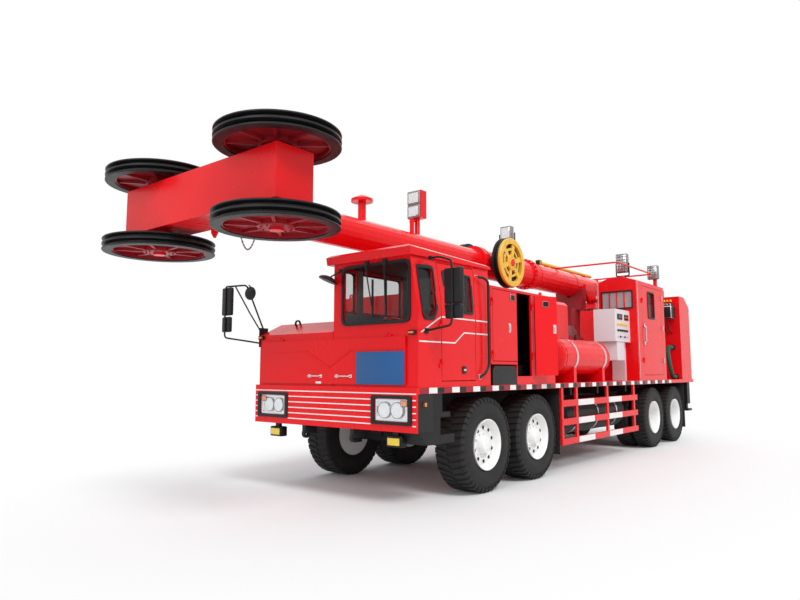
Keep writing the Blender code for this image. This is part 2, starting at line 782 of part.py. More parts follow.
def engine_cover():
    low = DECK_TOP + GAP
    front, rear = CABINET_REAR + GAP, COVER_REAR
    outer = prism("Y", [
        (-COVER_HALF, low), (-COVER_HALF, COVER_TOP - 0.06), (-COVER_HALF + 0.06, COVER_TOP),
        (COVER_HALF - 0.06, COVER_TOP), (COVER_HALF, COVER_TOP - 0.06), (COVER_HALF, low),
    ], front, rear)
    inner = box((-COVER_HALF + SHEET, COVER_HALF - SHEET), (front + SHEET, rear - SHEET), (low - 0.1, COVER_TOP - 0.06))
    solid("engine_cover", RED, [outer], [inner])


def engine():
    s0, s1 = ENGINE_FRONT, ENGINE_FRONT + ENGINE_LENGTH
    block = box((-0.34, 0.34), (s0, s1), (0.95, ENGINE_TOP))
    inner_face = FRAME_HALF - RAIL_WIDTH - GAP
    feet = [box((-inner_face, inner_face), (s, s + 0.12), (1.02, 1.16)) for s in (s0 + 0.1, s1 - 0.22)]
    solid("engine", IRON, [block] + feet)


# ================================================================ deck equipment
def air_receiver():
    radius, r = RECEIVER_RADIUS, RECEIVER_RADIUS
    length = RECEIVER_REAR - RECEIVER_FRONT
    dome = 0.13
    profile = [(0, 0)]
    steps = 4
    for i in range(1, steps + 1):
        turn = math.pi / 2 * i / steps
        profile.append((dome * (1 - math.cos(turn)), r * math.sin(turn)))
    profile += [(length - along, around) for along, around in reversed(profile)]
    tank = turned((RECEIVER_X, RECEIVER_FRONT, RECEIVER_Z), (0, 1, 0), profile, 18)
    saddles = [
        box((RECEIVER_X - 0.24, RECEIVER_X + 0.24), (s - 0.05, s + 0.05), (DECK_TOP + GAP, RECEIVER_Z - radius * 0.55))
        for s in RECEIVER_SADDLES
    ]
    solid("air_receiver", RED, [tank] + saddles)


def switch_cabinet():
    rear = CABIN_FRONT - GAP
    box_big = box((SWITCH_RIGHT, SWITCH_LEFT), (SWITCH_FRONT, rear), (SWITCH_BOTTOM, SWITCH_TOP))
    box_low = box((SWITCH_RIGHT + 0.05, SWITCH_LEFT - 0.02), (SWITCH_FRONT + 0.12, SWITCH_FRONT + 0.5), (1.74, SWITCH_BOTTOM + 0.01))
    frame = box((SWITCH_RIGHT + 0.06, SWITCH_LEFT - 0.10), (rear - 0.06, rear), (DECK_TOP + GAP, SWITCH_BOTTOM + 0.01))
    solid("switch_cabinet", GREY, [box_big, box_low, frame])


# ================================================================ control cabin
CABIN_FRONT_WINDOW = ((0.68, 1.27), (2.80, 3.12))
CABIN_DOOR_WINDOW = ((7.78, 8.16), (2.62, 3.15))


def cabin_hinges():
    pin = (CABIN_LEFT + 0.014, CABIN_DOOR_FRONT - 0.004)
    return pin, (1.75, 2.95)


def control_cabin():
    low = DECK_TOP + GAP
    middle = (CABIN_RIGHT + CABIN_LEFT) / 2
    outer = prism("Y", [
        (CABIN_RIGHT, low), (CABIN_RIGHT, CABIN_TOP), (middle - 0.15, CABIN_CREST),
        (middle + 0.15, CABIN_CREST), (CABIN_LEFT, CABIN_TOP), (CABIN_LEFT, low),
    ], CABIN_FRONT, CABIN_REAR)
    wall = CABIN_WALL
    inner = box((CABIN_RIGHT + wall, CABIN_LEFT - wall), (CABIN_FRONT + wall, CABIN_REAR - wall), (low + 0.06, CABIN_TOP - 0.04))
    (x0, x1), (z0, z1) = CABIN_FRONT_WINDOW
    cuts = [
        inner,
        box((x0, x1), (CABIN_FRONT - 0.1, CABIN_FRONT + 0.1), (z0, z1)),
        box((CABIN_LEFT - 0.1, CABIN_LEFT + 0.1), (CABIN_DOOR_FRONT, CABIN_DOOR_REAR), (CABIN_DOOR_BOTTOM, CABIN_DOOR_TOP)),
        box((x0, x1), (CABIN_REAR - 0.1, CABIN_REAR + 0.1), (2.3, 3.0)),
    ]
    made = solid("control_cabin", RED, [outer], cuts)
    (x, s), heights = cabin_hinges()
    hinges = [shape for z in heights for shape in door_hinge(x, s, z, CABIN_LEFT, 1)[0]]
    made.data = with_extras(made, hinges)


def control_cabin_door():
    (s0, s1), (z0, z1) = CABIN_DOOR_WINDOW
    leaf = box((CABIN_LEFT - CABIN_WALL, CABIN_LEFT), (CABIN_DOOR_FRONT + CLEAR, CABIN_DOOR_REAR - CLEAR),
               (CABIN_DOOR_BOTTOM + CLEAR, CABIN_DOOR_TOP - CLEAR))
    window = box((CABIN_LEFT - 0.2, CABIN_LEFT + 0.1), (s0, s1), (z0, z1))
    (x, s), heights = cabin_hinges()
    hinges = [shape for z in heights for shape in door_hinge(x, s, z, CABIN_LEFT, 1)[1]]
    solid("control_cabin_door", RED, [leaf] + hinges, [window], origin=(x, s, 0.0))


# ================================================================ mast
def mast_centre(station):
    return (0.0, station, MAST_Z)


def mast_lower():
    outer, inner = LOWER_RADIUS, LOWER_RADIUS - LOWER_WALL
    length = LOWER_REAR - LOWER_FRONT
    collar, flange = outer + 0.028, outer + 0.048
    bush = UPPER_RADIUS + RUNNING
    at = MAST_FLANGE - LOWER_FRONT
    section = [
        (0, bush), (0, collar), (0.14, collar), (0.17, outer), (at, outer), (at, flange),
        (at + 0.07, flange), (at + 0.07, outer), (length, outer), (length, inner), (0.20, inner), (0.20, bush),
    ]
    tube = turned(mast_centre(LOWER_FRONT), (0, 1, 0), section, MAST_SIDES, True)
    cheek = prism("X", [
        (9.30, MAST_Z + 0.10), (9.30, MAST_Z - 0.16), (PIVOT_STATION - 0.20, PIVOT_Z - 0.05),
        (PIVOT_STATION - 0.10, PIVOT_Z - 0.16), (PIVOT_STATION + 0.10, PIVOT_Z - 0.16),
        (PIVOT_STATION + 0.20, PIVOT_Z - 0.02), (LOWER_REAR, MAST_Z - 0.10), (LOWER_REAR, MAST_Z + 0.10),
    ], outer - 0.030, LUG_HALF)
    web = box((-LUG_HALF + 0.02, LUG_HALF - 0.02), (9.75, 9.80), (2.72, MAST_Z - LOWER_RADIUS + 0.03))
    pin_reach = COLUMN_INNER - GAP
    pin = turned((LUG_HALF - 0.02, PIVOT_STATION, PIVOT_Z), (1, 0, 0), [
        (0, 0), (0, PIVOT_RADIUS), (pin_reach - LUG_HALF + 0.02, PIVOT_RADIUS), (pin_reach - LUG_HALF + 0.02, 0)
    ], 16)
    boss_x = CYLINDER_X - 0.06 - 0.006
    boss = turned((outer - 0.08, EYE_STATION, EYE_Z), (1, 0, 0), [
        (0, 0), (0, 0.06), (boss_x - outer + 0.08, 0.06), (boss_x - outer + 0.08, 0)
    ], 12)
    bracket = prism("X", [
        (EYE_STATION - 0.30, MAST_Z + 0.02), (EYE_STATION - 0.30, MAST_Z - 0.15), (EYE_STATION - 0.09, EYE_Z - 0.09),
        (EYE_STATION + 0.09, EYE_Z - 0.09), (EYE_STATION + 0.30, MAST_Z - 0.15), (EYE_STATION + 0.30, MAST_Z + 0.02),
    ], outer - 0.030, outer + 0.03)
    guide_stub = turned((outer - 0.05, GUIDE_STATION, MAST_Z), (1, 0, 0), [
        (0, 0), (0, 0.11), (GUIDE_INNER_X - GAP - outer + 0.05, 0.11), (GUIDE_INNER_X - GAP - outer + 0.05, 0)
    ], 16)
    guide_pin = turned((outer - 0.04, GUIDE_STATION, MAST_Z), (1, 0, 0), [
        (0, 0), (0, GUIDE_PIN), (GUIDE_INNER_X + GUIDE_WIDTH - outer + 0.05, GUIDE_PIN),
        (GUIDE_INNER_X + GUIDE_WIDTH - outer + 0.05, 0)
    ], 12)
    clear_bore = turned(mast_centre(LOWER_FRONT), (0, 1, 0), [
        (0.20, 0), (0.20, inner - 0.001), (length + 0.2, inner - 0.001), (length + 0.2, 0)
    ], MAST_SIDES, True)
    extras = both(cheek) + both(pin) + both(boss) + both(bracket) + both(guide_stub) + both(guide_pin) + [web] + mast_rail()
    solid("mast_lower", RED, [tube] + extras, [clear_bore], origin=(0.0, PIVOT_STATION, PIVOT_Z))


def mast_upper():
    outer, inner = UPPER_RADIUS, UPPER_RADIUS - UPPER_WALL
    front = CROWN_REAR + GAP
    length = UPPER_REAR - front
    section = [(0, inner), (0, outer + 0.05), (0.03, outer + 0.05), (0.03, outer), (length, outer), (length, inner)]
    tube = turned(mast_centre(front), (0, 1, 0), section, MAST_SIDES, True)
    vent = turned((0.0, 0.61, MAST_Z + outer - 0.02), (0, 0, 1), [
        (0, 0), (0, 0.055), (0.27, 0.055), (0.27, 0.15), (0.31, 0.15), (0.36, 0.05), (0.36, 0)
    ], 16)
    lamp_post = bar((0.0, 1.70, MAST_Z + outer - 0.02), (0.0, 1.70, MAST_Z + outer + 0.22), 0.035)
    lamp_arm = bar((-0.02, 1.70, MAST_Z + outer + 0.17), (0.0, 1.88, MAST_Z + outer + 0.30), 0.03)
    lamp_head = box((-0.12, 0.12), (1.76, 1.90), (MAST_Z + outer + 0.24, MAST_Z + outer + 0.66))
    bore = turned(mast_centre(front), (0, 1, 0), [
        (0.0, 0), (0.0, inner - 0.001), (length, inner - 0.001), (length, 0)
    ], MAST_SIDES, True)
    extras = [vent, lamp_post, lamp_arm, lamp_head]
    solid("mast_upper", RED, [tube] + extras, [bore], origin=(0.0, UPPER_REAR, MAST_Z))


def mast_rail():
    """The folded rail that reaches out from the mast over the control cabin, as shapes of the mast."""
    z = MAST_Z + LOWER_RADIUS + 0.02
    points = [(0.0, 6.36, z), (1.24, 6.40, z), (1.30, 6.46, z), (1.30, 8.34, z), (1.24, 8.40, z), (0.0, 8.44, z)]
    feet = [box((-0.05, 0.07), (s - 0.04, s + 0.04), (z - 0.05, z + 0.012)) for s in (6.36, 8.44)]
    return [pipe_through(points, 0.018, 6)] + feet


def crown_beam():
    body = prism("Z", [
        (-CROWN_HALF, CROWN_FRONT), (CROWN_HALF, CROWN_FRONT), (CROWN_HALF, CROWN_REAR), (-CROWN_HALF, CROWN_REAR),
    ], CROWN_BOTTOM, CROWN_TOP)
    shafts = []
    for x in (-CROWN_SHEAVE_X, CROWN_SHEAVE_X):
        reach = CROWN_SHEAVE_LIFT - GAP
        shafts.append(turned((x, CROWN_SHEAVE_STATION, CROWN_BOTTOM - reach), (0, 0, 1), [
            (0, 0), (0, 0.13), (CROWN_TOP - CROWN_BOTTOM + 2 * reach, 0.13), (CROWN_TOP - CROWN_BOTTOM + 2 * reach, 0)
        ], 16))
        inside = CROWN_SHEAVE_LIFT + CROWN_SHEAVE_THICK + 0.02
        shafts.append(turned((x, CROWN_SHEAVE_STATION, CROWN_BOTTOM - inside), (0, 0, 1), [
            (0, 0), (0, SHAFT_RADIUS), (CROWN_TOP - CROWN_BOTTOM + 2 * inside, SHAFT_RADIUS),
            (CROWN_TOP - CROWN_BOTTOM + 2 * inside, 0)
        ], 16))
    lugs = [
        prism("Y", [(x - 0.05, CROWN_BOTTOM + 0.02), (x - 0.05, CROWN_BOTTOM - 0.06), (x, CROWN_BOTTOM - 0.12),
                    (x + 0.05, CROWN_BOTTOM - 0.06), (x + 0.05, CROWN_BOTTOM + 0.02)], -1.60, -1.57)
        for x in (-0.16, 0.16)
    ]
    solid("crown_beam", RED, [body] + shafts + lugs, origin=(0.0, CROWN_SHEAVE_STATION, MAST_Z))


def sheave_profile(radius, thick, bore):
    """A sheave's section from its lower face up: hub, thin web and a grooved rim."""
    web_low, web_high = thick * 0.38, thick * 0.62
    rim = radius - 0.10
    return [
        (0, bore), (0, bore + 0.09), (web_low, bore + 0.10), (web_low, rim), (0, rim + 0.01), (0, radius),
        (thick / 2, radius - SHEAVE_GROOVE), (thick, radius), (thick, rim + 0.01), (web_high, rim),
        (web_high, bore + 0.10), (thick, bore + 0.09), (thick, bore),
    ]


def crown_sheaves():
    bore = (SHAFT_RADIUS + RUNNING) / math.cos(math.pi / SHEAVE_SIDES)
    profile = sheave_profile(CROWN_SHEAVE_RADIUS, CROWN_SHEAVE_THICK, bore)
    levels = (
        ("upper", CROWN_TOP + CROWN_SHEAVE_LIFT), ("lower", CROWN_BOTTOM - CROWN_SHEAVE_LIFT - CROWN_SHEAVE_THICK),
    )
    first = None
    for side, x in (("left", CROWN_SHEAVE_X), ("right", -CROWN_SHEAVE_X)):
        for level, z in levels:
            name = f"crown_sheave_{level}_{side}"
            origin = (x, CROWN_SHEAVE_STATION, z)
            if first is None:
                first = solid(name, BLACK, [turned(origin, (0, 0, 1), profile, SHEAVE_SIDES)], origin=origin)
            else:
                copy_of(first, name, origin)


def guide_sheaves():
    bore = (GUIDE_PIN + RUNNING) / math.cos(math.pi / SHEAVE_SIDES)
    section = sheave_profile(GUIDE_RADIUS, GUIDE_WIDTH, bore)
    for side, direction in (("left", 1), ("right", -1)):
        origin = (direction * GUIDE_INNER_X, GUIDE_STATION, MAST_Z)
        made = turned(origin, (direction, 0, 0), section, SHEAVE_SIDES)
        solid(f"guide_sheave_{side}", YELLOW, [made], origin=origin)


# ================================================================ raising cylinders
def cylinder_line():
    foot = Vector((0.0, FOOT_STATION, FOOT_Z))
    eye = Vector((0.0, EYE_STATION, EYE_Z))
    return foot, eye, (eye - foot).normalized(), (eye - foot).length


def cylinder_barrels():
    foot, eye, along, length = cylinder_line()
    shift = Vector((CYLINDER_X, 0, 0))
    top = length - 0.22
    bore = ROD_RADIUS + RUNNING
    barrel = turned(foot + shift, along, [
        (0.16, 0), (0.16, BARREL_RADIUS), (top, BARREL_RADIUS), (top, bore), (0.30, bore), (0.30, 0)
    ], 12, True)
    foot_eye = turned(foot + shift - Vector((0.05, 0, 0)), (1, 0, 0), [(0, 0), (0, 0.075), (0.10, 0.075), (0.10, 0)], 16)
    neck = moved(box((-0.04, 0.04), (-0.04, 0.04), (0.03, 0.20)),
                 Matrix.Translation(foot + shift) @ Vector((0, 0, 1)).rotation_difference(along).to_matrix().to_4x4())
    tie = bar(foot + Vector((-CYLINDER_X, 0, 0)), foot + shift, 0.045, 12)
    solid("cylinder_barrels", RED, both(barrel) + both(foot_eye) + both(neck) + [tie], origin=tuple(foot))


def cylinder_rods():
    foot, eye, along, length = cylinder_line()
    shift = Vector((CYLINDER_X, 0, 0))
    rod = turned(foot + shift, along, [(0.32, 0), (0.32, ROD_RADIUS), (length, ROD_RADIUS), (length, 0)], 12, True)
    eye_boss = turned(eye + shift - Vector((0.06, 0, 0)), (1, 0, 0), [(0, 0), (0, 0.075), (0.12, 0.075), (0.12, 0)], 16)
    drop = Vector((0, along.z, -along.y)) * -1
    low = eye + along * -0.12
    bridge = pipe_through([
        low + shift, low + shift + drop * 0.16, low - shift + drop * 0.16, low - shift,
    ], 0.028, 8)
    solid("cylinder_rods", STEEL, both(rod) + both(eye_boss) + [bridge], origin=tuple(eye))


# ================================================================ mast support, rest and drawworks
def mast_support():
    low = DECK_TOP + GAP
    outline = [
        (COLUMN_FRONT, low), (COLUMN_FRONT, COLUMN_TOP), (COLUMN_FRONT + 0.38, COLUMN_TOP),
        (COLUMN_REAR - 0.02, COLUMN_TOP - 0.22), (COLUMN_REAR - 0.02, low),
    ]
    column = prism("X", outline, COLUMN_INNER, BODY_HALF)
    lip = box((COLUMN_INNER, BODY_HALF), (COLUMN_REAR - 0.12, COLUMN_REAR), (COLUMN_TOP - 0.30, COLUMN_TOP - 0.26))
    beam = box((-COLUMN_INNER - 0.05, COLUMN_INNER + 0.05), (COLUMN_FRONT + 0.05, COLUMN_REAR - 0.10), (low, 1.85))
    foot, _, _, _ = cylinder_line()
    ears = []
    for x in (CYLINDER_X - 0.05 - GAP - 0.03, CYLINDER_X + 0.05 + GAP):
        ears.append(prism("X", [
            (FOOT_STATION - 0.14, low), (FOOT_STATION - 0.07, FOOT_Z + 0.07), (FOOT_STATION + 0.08, FOOT_Z + 0.07),
            (COLUMN_FRONT + 0.06, FOOT_Z - 0.02), (COLUMN_FRONT + 0.06, low),
        ], x, x + 0.03))
    slot = turned((-1.0, FOOT_STATION, FOOT_Z), (1, 0, 0), [(0, 0), (0, 0.052), (2.0, 0.052), (2.0, 0)], 16)
    made = solid("mast_support", RED, both(column) + both(lip) + [beam])
    feet = combined([s for e in ears for s in both(e)] + [box(
        (-CYLINDER_X - 0.2, CYLINDER_X + 0.2), (COLUMN_FRONT - 0.02, COLUMN_FRONT + 0.2), (low, low + 0.1))], [slot])
    made.data = with_extras(made, [feet])


def mast_rest():
    low = DECK_TOP + GAP
    top = MAST_Z - LOWER_RADIUS
    post = turned((0, REST_STATION, low), (0, 0, 1), [
        (0, 0), (0, 0.26), (0.03, 0.26), (0.03, REST_RADIUS), (1.50, REST_RADIUS), (1.50, 0)
    ], 16)
    cradle = prism("Y", [
        (-0.26, top - 0.30), (0.26, top - 0.30), (0.30, top + 0.13), (0.24, top + 0.13),
        (0.0, top - 0.04), (-0.24, top + 0.13), (-0.30, top + 0.13),
    ], REST_STATION - 0.12, REST_STATION + 0.12)
    hollow = turned(mast_centre(REST_STATION - 0.3), (0, 1, 0), [
        (0, 0), (0, LOWER_RADIUS + GAP), (0.6, LOWER_RADIUS + GAP), (0.6, 0)
    ], MAST_SIDES, True)
    solid("mast_rest", DARK_RED, [post, cradle], [hollow])


def drawworks():
    low = DECK_TOP + GAP
    x_in = DRUM_HALF + GAP
    cheek = prism("X", [
        (DRUM_STATION - 0.45, low), (DRUM_STATION - 0.25, DRUM_Z + 0.22), (DRUM_STATION + 0.25, DRUM_Z + 0.22),
        (DRUM_STATION + 0.45, low),
    ], x_in, x_in + 0.07)
    base = box((-x_in - 0.05, x_in + 0.05), (DRUM_STATION - 0.44, DRUM_STATION - 0.36), (low, low + 0.12))
    base_2 = box((-x_in - 0.05, x_in + 0.05), (DRUM_STATION + 0.36, DRUM_STATION + 0.44), (low, low + 0.12))
    motor = turned((-x_in - 0.05, DRUM_STATION, DRUM_Z), (-1, 0, 0), [(0, 0), (0, 0.20), (0.34, 0.20), (0.34, 0)], 16)
    solid("winch_frame", DARK_RED, both(cheek) + [base, base_2, motor])
    length = 2 * DRUM_HALF
    profile = [
        (0, 0), (0, DRUM_FLANGE), (0.03, DRUM_FLANGE), (0.03, DRUM_RADIUS), (length - 0.03, DRUM_RADIUS),
        (length - 0.03, DRUM_FLANGE), (length, DRUM_FLANGE), (length, 0),
    ]
    origin = (-DRUM_HALF, DRUM_STATION, DRUM_Z)
    solid("winch_drum", STEEL, [turned(origin, (1, 0, 0), profile, 20)], origin=origin)


# ================================================================ tanks and guards
def fuel_tank():
    top = DECK_BOTTOM - GAP
    length = TANK_REAR - TANK_FRONT
    tank = turned((TANK_X, TANK_FRONT, TANK_Z), (0, 1, 0), [
        (0, 0), (0, TANK_RADIUS - 0.03), (0.03, TANK_RADIUS), (length - 0.03, TANK_RADIUS),
        (length, TANK_RADIUS - 0.03), (length, 0),
    ], 20)
    hangers = [
        box((TANK_X - 0.10, TANK_X + 0.10), (s, s + 0.07), (TANK_Z + 0.2, top))
        for s in (TANK_FRONT + 0.3, TANK_REAR - 0.4)
    ]
    solid("fuel_tank", BLACK, [tank] + hangers)


def side_guards():
    x0, x1 = HALF_WIDTH - GUARD_THICK, HALF_WIDTH
    top = DECK_BOTTOM - GAP
    rails = [(0.404, 0.50), (0.70, 0.80), (0.985, 1.085)]
    posts = (GUARD_FRONT, 4.15, 5.42, 6.72)
    shapes = [box((x0 + 0.004, x1), (GUARD_FRONT + 0.01, GUARD_REAR - 0.01), band) for band in rails]
    shapes += [box((x0, x1 - 0.004), (s, s + 0.07), (GUARD_BOTTOM + 0.004, top)) for s in posts]
    solid("side_guard_left", RED, shapes)
    solid("side_guard_right", RED, [mirrored(s) for s in shapes])


# ================================================================ axles, knuckles and wheels
def front_suspension():
    shapes = []
    for station in FRONT_AXLES:
        beam = box((-KINGPIN_X, KINGPIN_X), (station - AXLE_BEAM_HALF, station + AXLE_BEAM_HALF), (0.54, 0.66))
        ends = turned((KINGPIN_X, station, 0.53), (0, 0, 1), [
            (0, 0), (0, KINGPIN_RADIUS), (0.14, KINGPIN_RADIUS), (0.14, 0)
        ], 16)
        seat = box((0.36, 0.48), (station - 0.08, station + 0.08), (0.60, 0.76))
        spring = prism("X", [
            (station - 0.52, FRAME_BOTTOM - GAP), (station - 0.52, 0.84), (station - 0.30, 0.76), (station, 0.73),
            (station + 0.30, 0.76), (station + 0.52, 0.84), (station + 0.52, FRAME_BOTTOM - GAP),
            (station + 0.44, FRAME_BOTTOM - GAP), (station + 0.28, 0.83), (station, 0.80), (station - 0.28, 0.83),
            (station - 0.44, FRAME_BOTTOM - GAP),
        ], 0.38, 0.46)
        shapes += [beam] + both(ends) + both(seat) + both(spring)
    middle = sum(FRONT_AXLES) / 2
    shapes += both(box((0.39, 0.45), (middle - 0.25, middle + 0.25), (0.85, 0.89)))
    solid("front_suspension", BLACK, shapes)


def rear_suspension():
    shapes = []
    inner_face = REAR_WHEEL_X - 0.02 - GAP
    for station in REAR_AXLES:
        housing = turned((-inner_face, station, WHEEL_RADIUS), (1, 0, 0), [
            (0, 0), (0, 0.10), (0.04, 0.10), (0.04, 0.22), (0.20, 0.22), (0.24, 0.09),
            (inner_face - 0.26, 0.09), (inner_face - 0.16, 0.20), (inner_face + 0.16, 0.20), (inner_face + 0.26, 0.09),
            (2 * inner_face - 0.24, 0.09), (2 * inner_face - 0.20, 0.22), (2 * inner_face - 0.04, 0.22),
            (2 * inner_face - 0.04, 0.10), (2 * inner_face, 0.10), (2 * inner_face, 0),
        ], 16)
        seat = box((0.38, 0.50), (station - 0.09, station + 0.09), (0.60, 0.78))
        shapes += [housing] + both(seat)
    first, second = REAR_AXLES
    middle = (first + second) / 2
    spring = prism("X", [
        (first - 0.14, 0.70), (middle, 0.60), (second + 0.14, 0.70), (second + 0.14, 0.76),
        (middle + 0.18, 0.80), (middle + 0.18, FRAME_BOTTOM - GAP), (middle - 0.18, FRAME_BOTTOM - GAP),
        (middle - 0.18, 0.80), (first - 0.14, 0.76),
    ], 0.39, 0.47)
    trunnion = bar((-0.43, middle, 0.74), (0.43, middle, 0.74), 0.06, 12)
    solid("rear_suspension", BLACK, shapes + both(spring) + [trunnion])


def knuckles():
    """One steering knuckle at each end of a steered axle, on its kingpin."""
    flange = FRONT_WHEEL_X + 0.06 - GAP
    low, high = 0.53 - GAP, 0.67 + 0.004
    for number, station in enumerate(FRONT_AXLES, 1):
        web = box((KINGPIN_X + 0.085, KINGPIN_X + 0.13), (station - 0.085, station + 0.085), (low - 0.05, high + 0.05))
        plates = [
            box((KINGPIN_X - 0.07, KINGPIN_X + 0.12), (station - 0.075, station + 0.075), span)
            for span in ((low - 0.05, low), (high, high + 0.05))
        ]
        spindle = turned((KINGPIN_X + 0.10, station, WHEEL_RADIUS), (1, 0, 0), [
            (0, 0), (0, 0.23), (0.06, 0.23), (0.06, 0.08), (flange - KINGPIN_X - 0.14, 0.08),
            (flange - KINGPIN_X - 0.14, 0.11), (flange - KINGPIN_X - 0.10, 0.11), (flange - KINGPIN_X - 0.10, 0),
        ], 16)
        shapes = [web, *plates, spindle]
        solid(f"knuckle_{number}_left", BLACK, shapes, origin=(KINGPIN_X, station, WHEEL_RADIUS))
        solid(f"knuckle_{number}_right", BLACK, [mirrored(s) for s in shapes],
              origin=(-KINGPIN_X, station, WHEEL_RADIUS))


def front_wheel_profile():
    """(outward from the wheel's middle, radius): tyre, rim and dished disc in one section."""
    half, tread = FRONT_TYRE_WIDTH / 2, WHEEL_RADIUS / math.cos(math.pi / WHEEL_SIDES)
    return [
        (0.06, 0), (0.06, 0.26), (-half + 0.05, 0.27), (-half + 0.02, RIM_RADIUS - 0.01),
        (-half, 0.45), (-half + 0.05, tread), (half - 0.05, tread),
        (half, 0.45), (half - 0.02, RIM_RADIUS), (half - 0.05, RIM_RADIUS - 0.02),
        (0.10, 0.27), (0.10, 0.17), (0.15, 0.12), (0.17, 0),
    ]


def rear_wheel_profile():
    """Twin tyres on one deep-dished rim pair."""
    tread = WHEEL_RADIUS / math.cos(math.pi / WHEEL_SIDES)
    near, far = TWIN_GAP / 2, TWIN_GAP / 2 + REAR_TYRE_WIDTH
    outer_tyre = [
        (far - 0.02, RIM_RADIUS), (far, 0.45), (far - 0.045, tread),
        (near + 0.045, tread), (near, 0.45), (near, RIM_RADIUS + 0.03),
    ]
    inner_tyre = [(-along, radius) for along, radius in reversed(outer_tyre)]
    return (
        [(0.20, 0), (0.20, 0.11), (0.02, 0.14), (0.02, 0.26), (far - 0.05, 0.285)]
        + outer_tyre + inner_tyre
        + [(-far + 0.05, 0.27), (-0.02, 0.25), (-0.02, 0)]
    )


def wheels():
    for sides, stations, x, profile in (
        ("front", FRONT_AXLES, FRONT_WHEEL_X, front_wheel_profile()),
        ("rear", REAR_AXLES, REAR_WHEEL_X, rear_wheel_profile()),
    ):
        for side, direction in (("left", 1), ("right", -1)):
            first = None
            for number, station in enumerate(stations, 1):
                name = f"wheel_{sides}_{number}_{side}"
                origin = (direction * x, station, WHEEL_RADIUS)
                if first is None:
                    shape = turned(origin, (direction, 0, 0), profile, WHEEL_SIDES, True)
                    first = solid(name, TYRE, [shape], origin=origin)
                else:
                    copy_of(first, name, origin)


def jack_legs():
    half = JACK_LEG / 2
    leg = box((JACK_X - half, JACK_X + half), (JACK_STATION - half, JACK_STATION + half), (JACK_FOOT_Z + 0.03, DECK_BOTTOM - 0.06))
    foot = box((JACK_X - 0.12, JACK_X + 0.12), (JACK_STATION - 0.14, JACK_STATION + 0.14), (JACK_FOOT_Z, JACK_FOOT_Z + 0.05))
    solid("jack_leg_left", BLACK, [leg, foot], origin=(JACK_X, JACK_STATION, JACK_FOOT_Z))
    solid("jack_leg_right", BLACK, [mirrored(leg), mirrored(foot)], origin=(-JACK_X, JACK_STATION, JACK_FOOT_Z))


# ================================================================ mirrors and hose
def mirrors():
    radius = 0.014
    wall = BODY_HALF + GAP
    left_head = box((1.58, MIRROR_OUT), (0.27, 0.34), (2.12, 2.70))
    left_arm = pipe_through([(wall + 0.015, 0.12, 2.02), (1.60, 0.12, 2.05), (1.70, 0.30, 2.14)], radius, 6)
    left_top = pipe_through([
        (1.345, 0.34, 2.845), (1.62, 0.30, 2.86), (1.70, 0.30, 2.80), (1.70, 0.30, 2.68),
    ], radius, 6)
    foot = box((wall, wall + 0.02), (0.08, 0.16), (1.98, 2.06))
    solid("mirror_left", BLACK, [left_head, left_arm, left_top, foot])
    right_head = box((-MIRROR_OUT, -1.62), (-0.30, -0.23), (2.24, 2.72))
    small_head = box((-MIRROR_OUT + 0.01, -1.64), (-0.29, -0.23), (2.06, 2.22))
    arm = pipe_through([
        (-wall - 0.015, 0.12, 1.90), (-1.66, -0.27, 1.90), (-1.735, -0.27, 2.00), (-1.735, -0.27, 2.30),
    ], radius, 6)
    second = pipe_through([(-wall - 0.015, 0.14, 1.98), (-1.735, -0.27, 2.03)], radius, 6)
    foot = box((-wall - 0.02, -wall), (0.08, 0.18), (1.86, 2.01))
    solid("mirror_right", BLACK, [right_head, small_head, arm, second, foot])


def smooth_route(points, spacing):
    """Points along a Catmull-Rom curve through the given points, about spacing apart."""
    points = [Vector(p) for p in points]
    padded = [2 * points[0] - points[1]] + points + [2 * points[-1] - points[-2]]
    dense = []
    for i in range(1, len(padded) - 2):
        a, b, c, d = padded[i - 1:i + 3]
        for step in range(24):
            t = step / 24
            dense.append(0.5 * (
                2 * b + (c - a) * t + (2 * a - 5 * b + 4 * c - d) * t ** 2 + (3 * b - a - 3 * c + d) * t ** 3
            ))
    dense.append(points[-1])
    length = sum((q - p).length for p, q in zip(dense, dense[1:]))
    count = max(2, round(length / spacing))
    picked, walked, wanted = [dense[0]], 0.0, length / count
    for p, q in zip(dense, dense[1:]):
        step = (q - p).length
        while walked + step >= wanted * len(picked) and len(picked) < count:
            picked.append(p.lerp(q, (wanted * len(picked) - walked) / step))
        walked += step
    return picked + [dense[-1]]


HOSE_RADIUS = 0.045
HOSE_ROUTE = [
    (1.20, COLUMN_FRONT - 2 * GAP, 2.08), (1.20, 9.84, 2.08), (1.20, 9.72, 2.08), (1.22, 9.55, 2.04), (1.27, 9.36, 1.88),
    (1.31, 9.32, 1.66), (1.31, 9.42, 1.50), (1.28, 9.56, 1.43), (1.25, 9.70, 1.40),
    (1.25, 9.82, 1.40), (1.25, COLUMN_FRONT - 10 * GAP, 1.40),
]


def green_hose():
    curve = bpy.data.curves.new("green_hose", "CURVE")
    curve.dimensions = "3D"
    curve.bevel_depth = HOSE_RADIUS
    curve.bevel_resolution = 1
    curve.use_fill_caps = True
    route = smooth_route(HOSE_ROUTE, 2.5 * 2 * HOSE_RADIUS)
    spline = curve.splines.new("POLY")
    spline.points.add(len(route) - 1)
    for point, place in zip(spline.points, route):
        point.co = (place.x, place.y - MIDDLE, place.z, 1.0)
    curve.materials.append(paint(*GREEN))
    made = bpy.data.objects.new("green_hose", curve)
    bpy.context.scene.collection.objects.link(made)


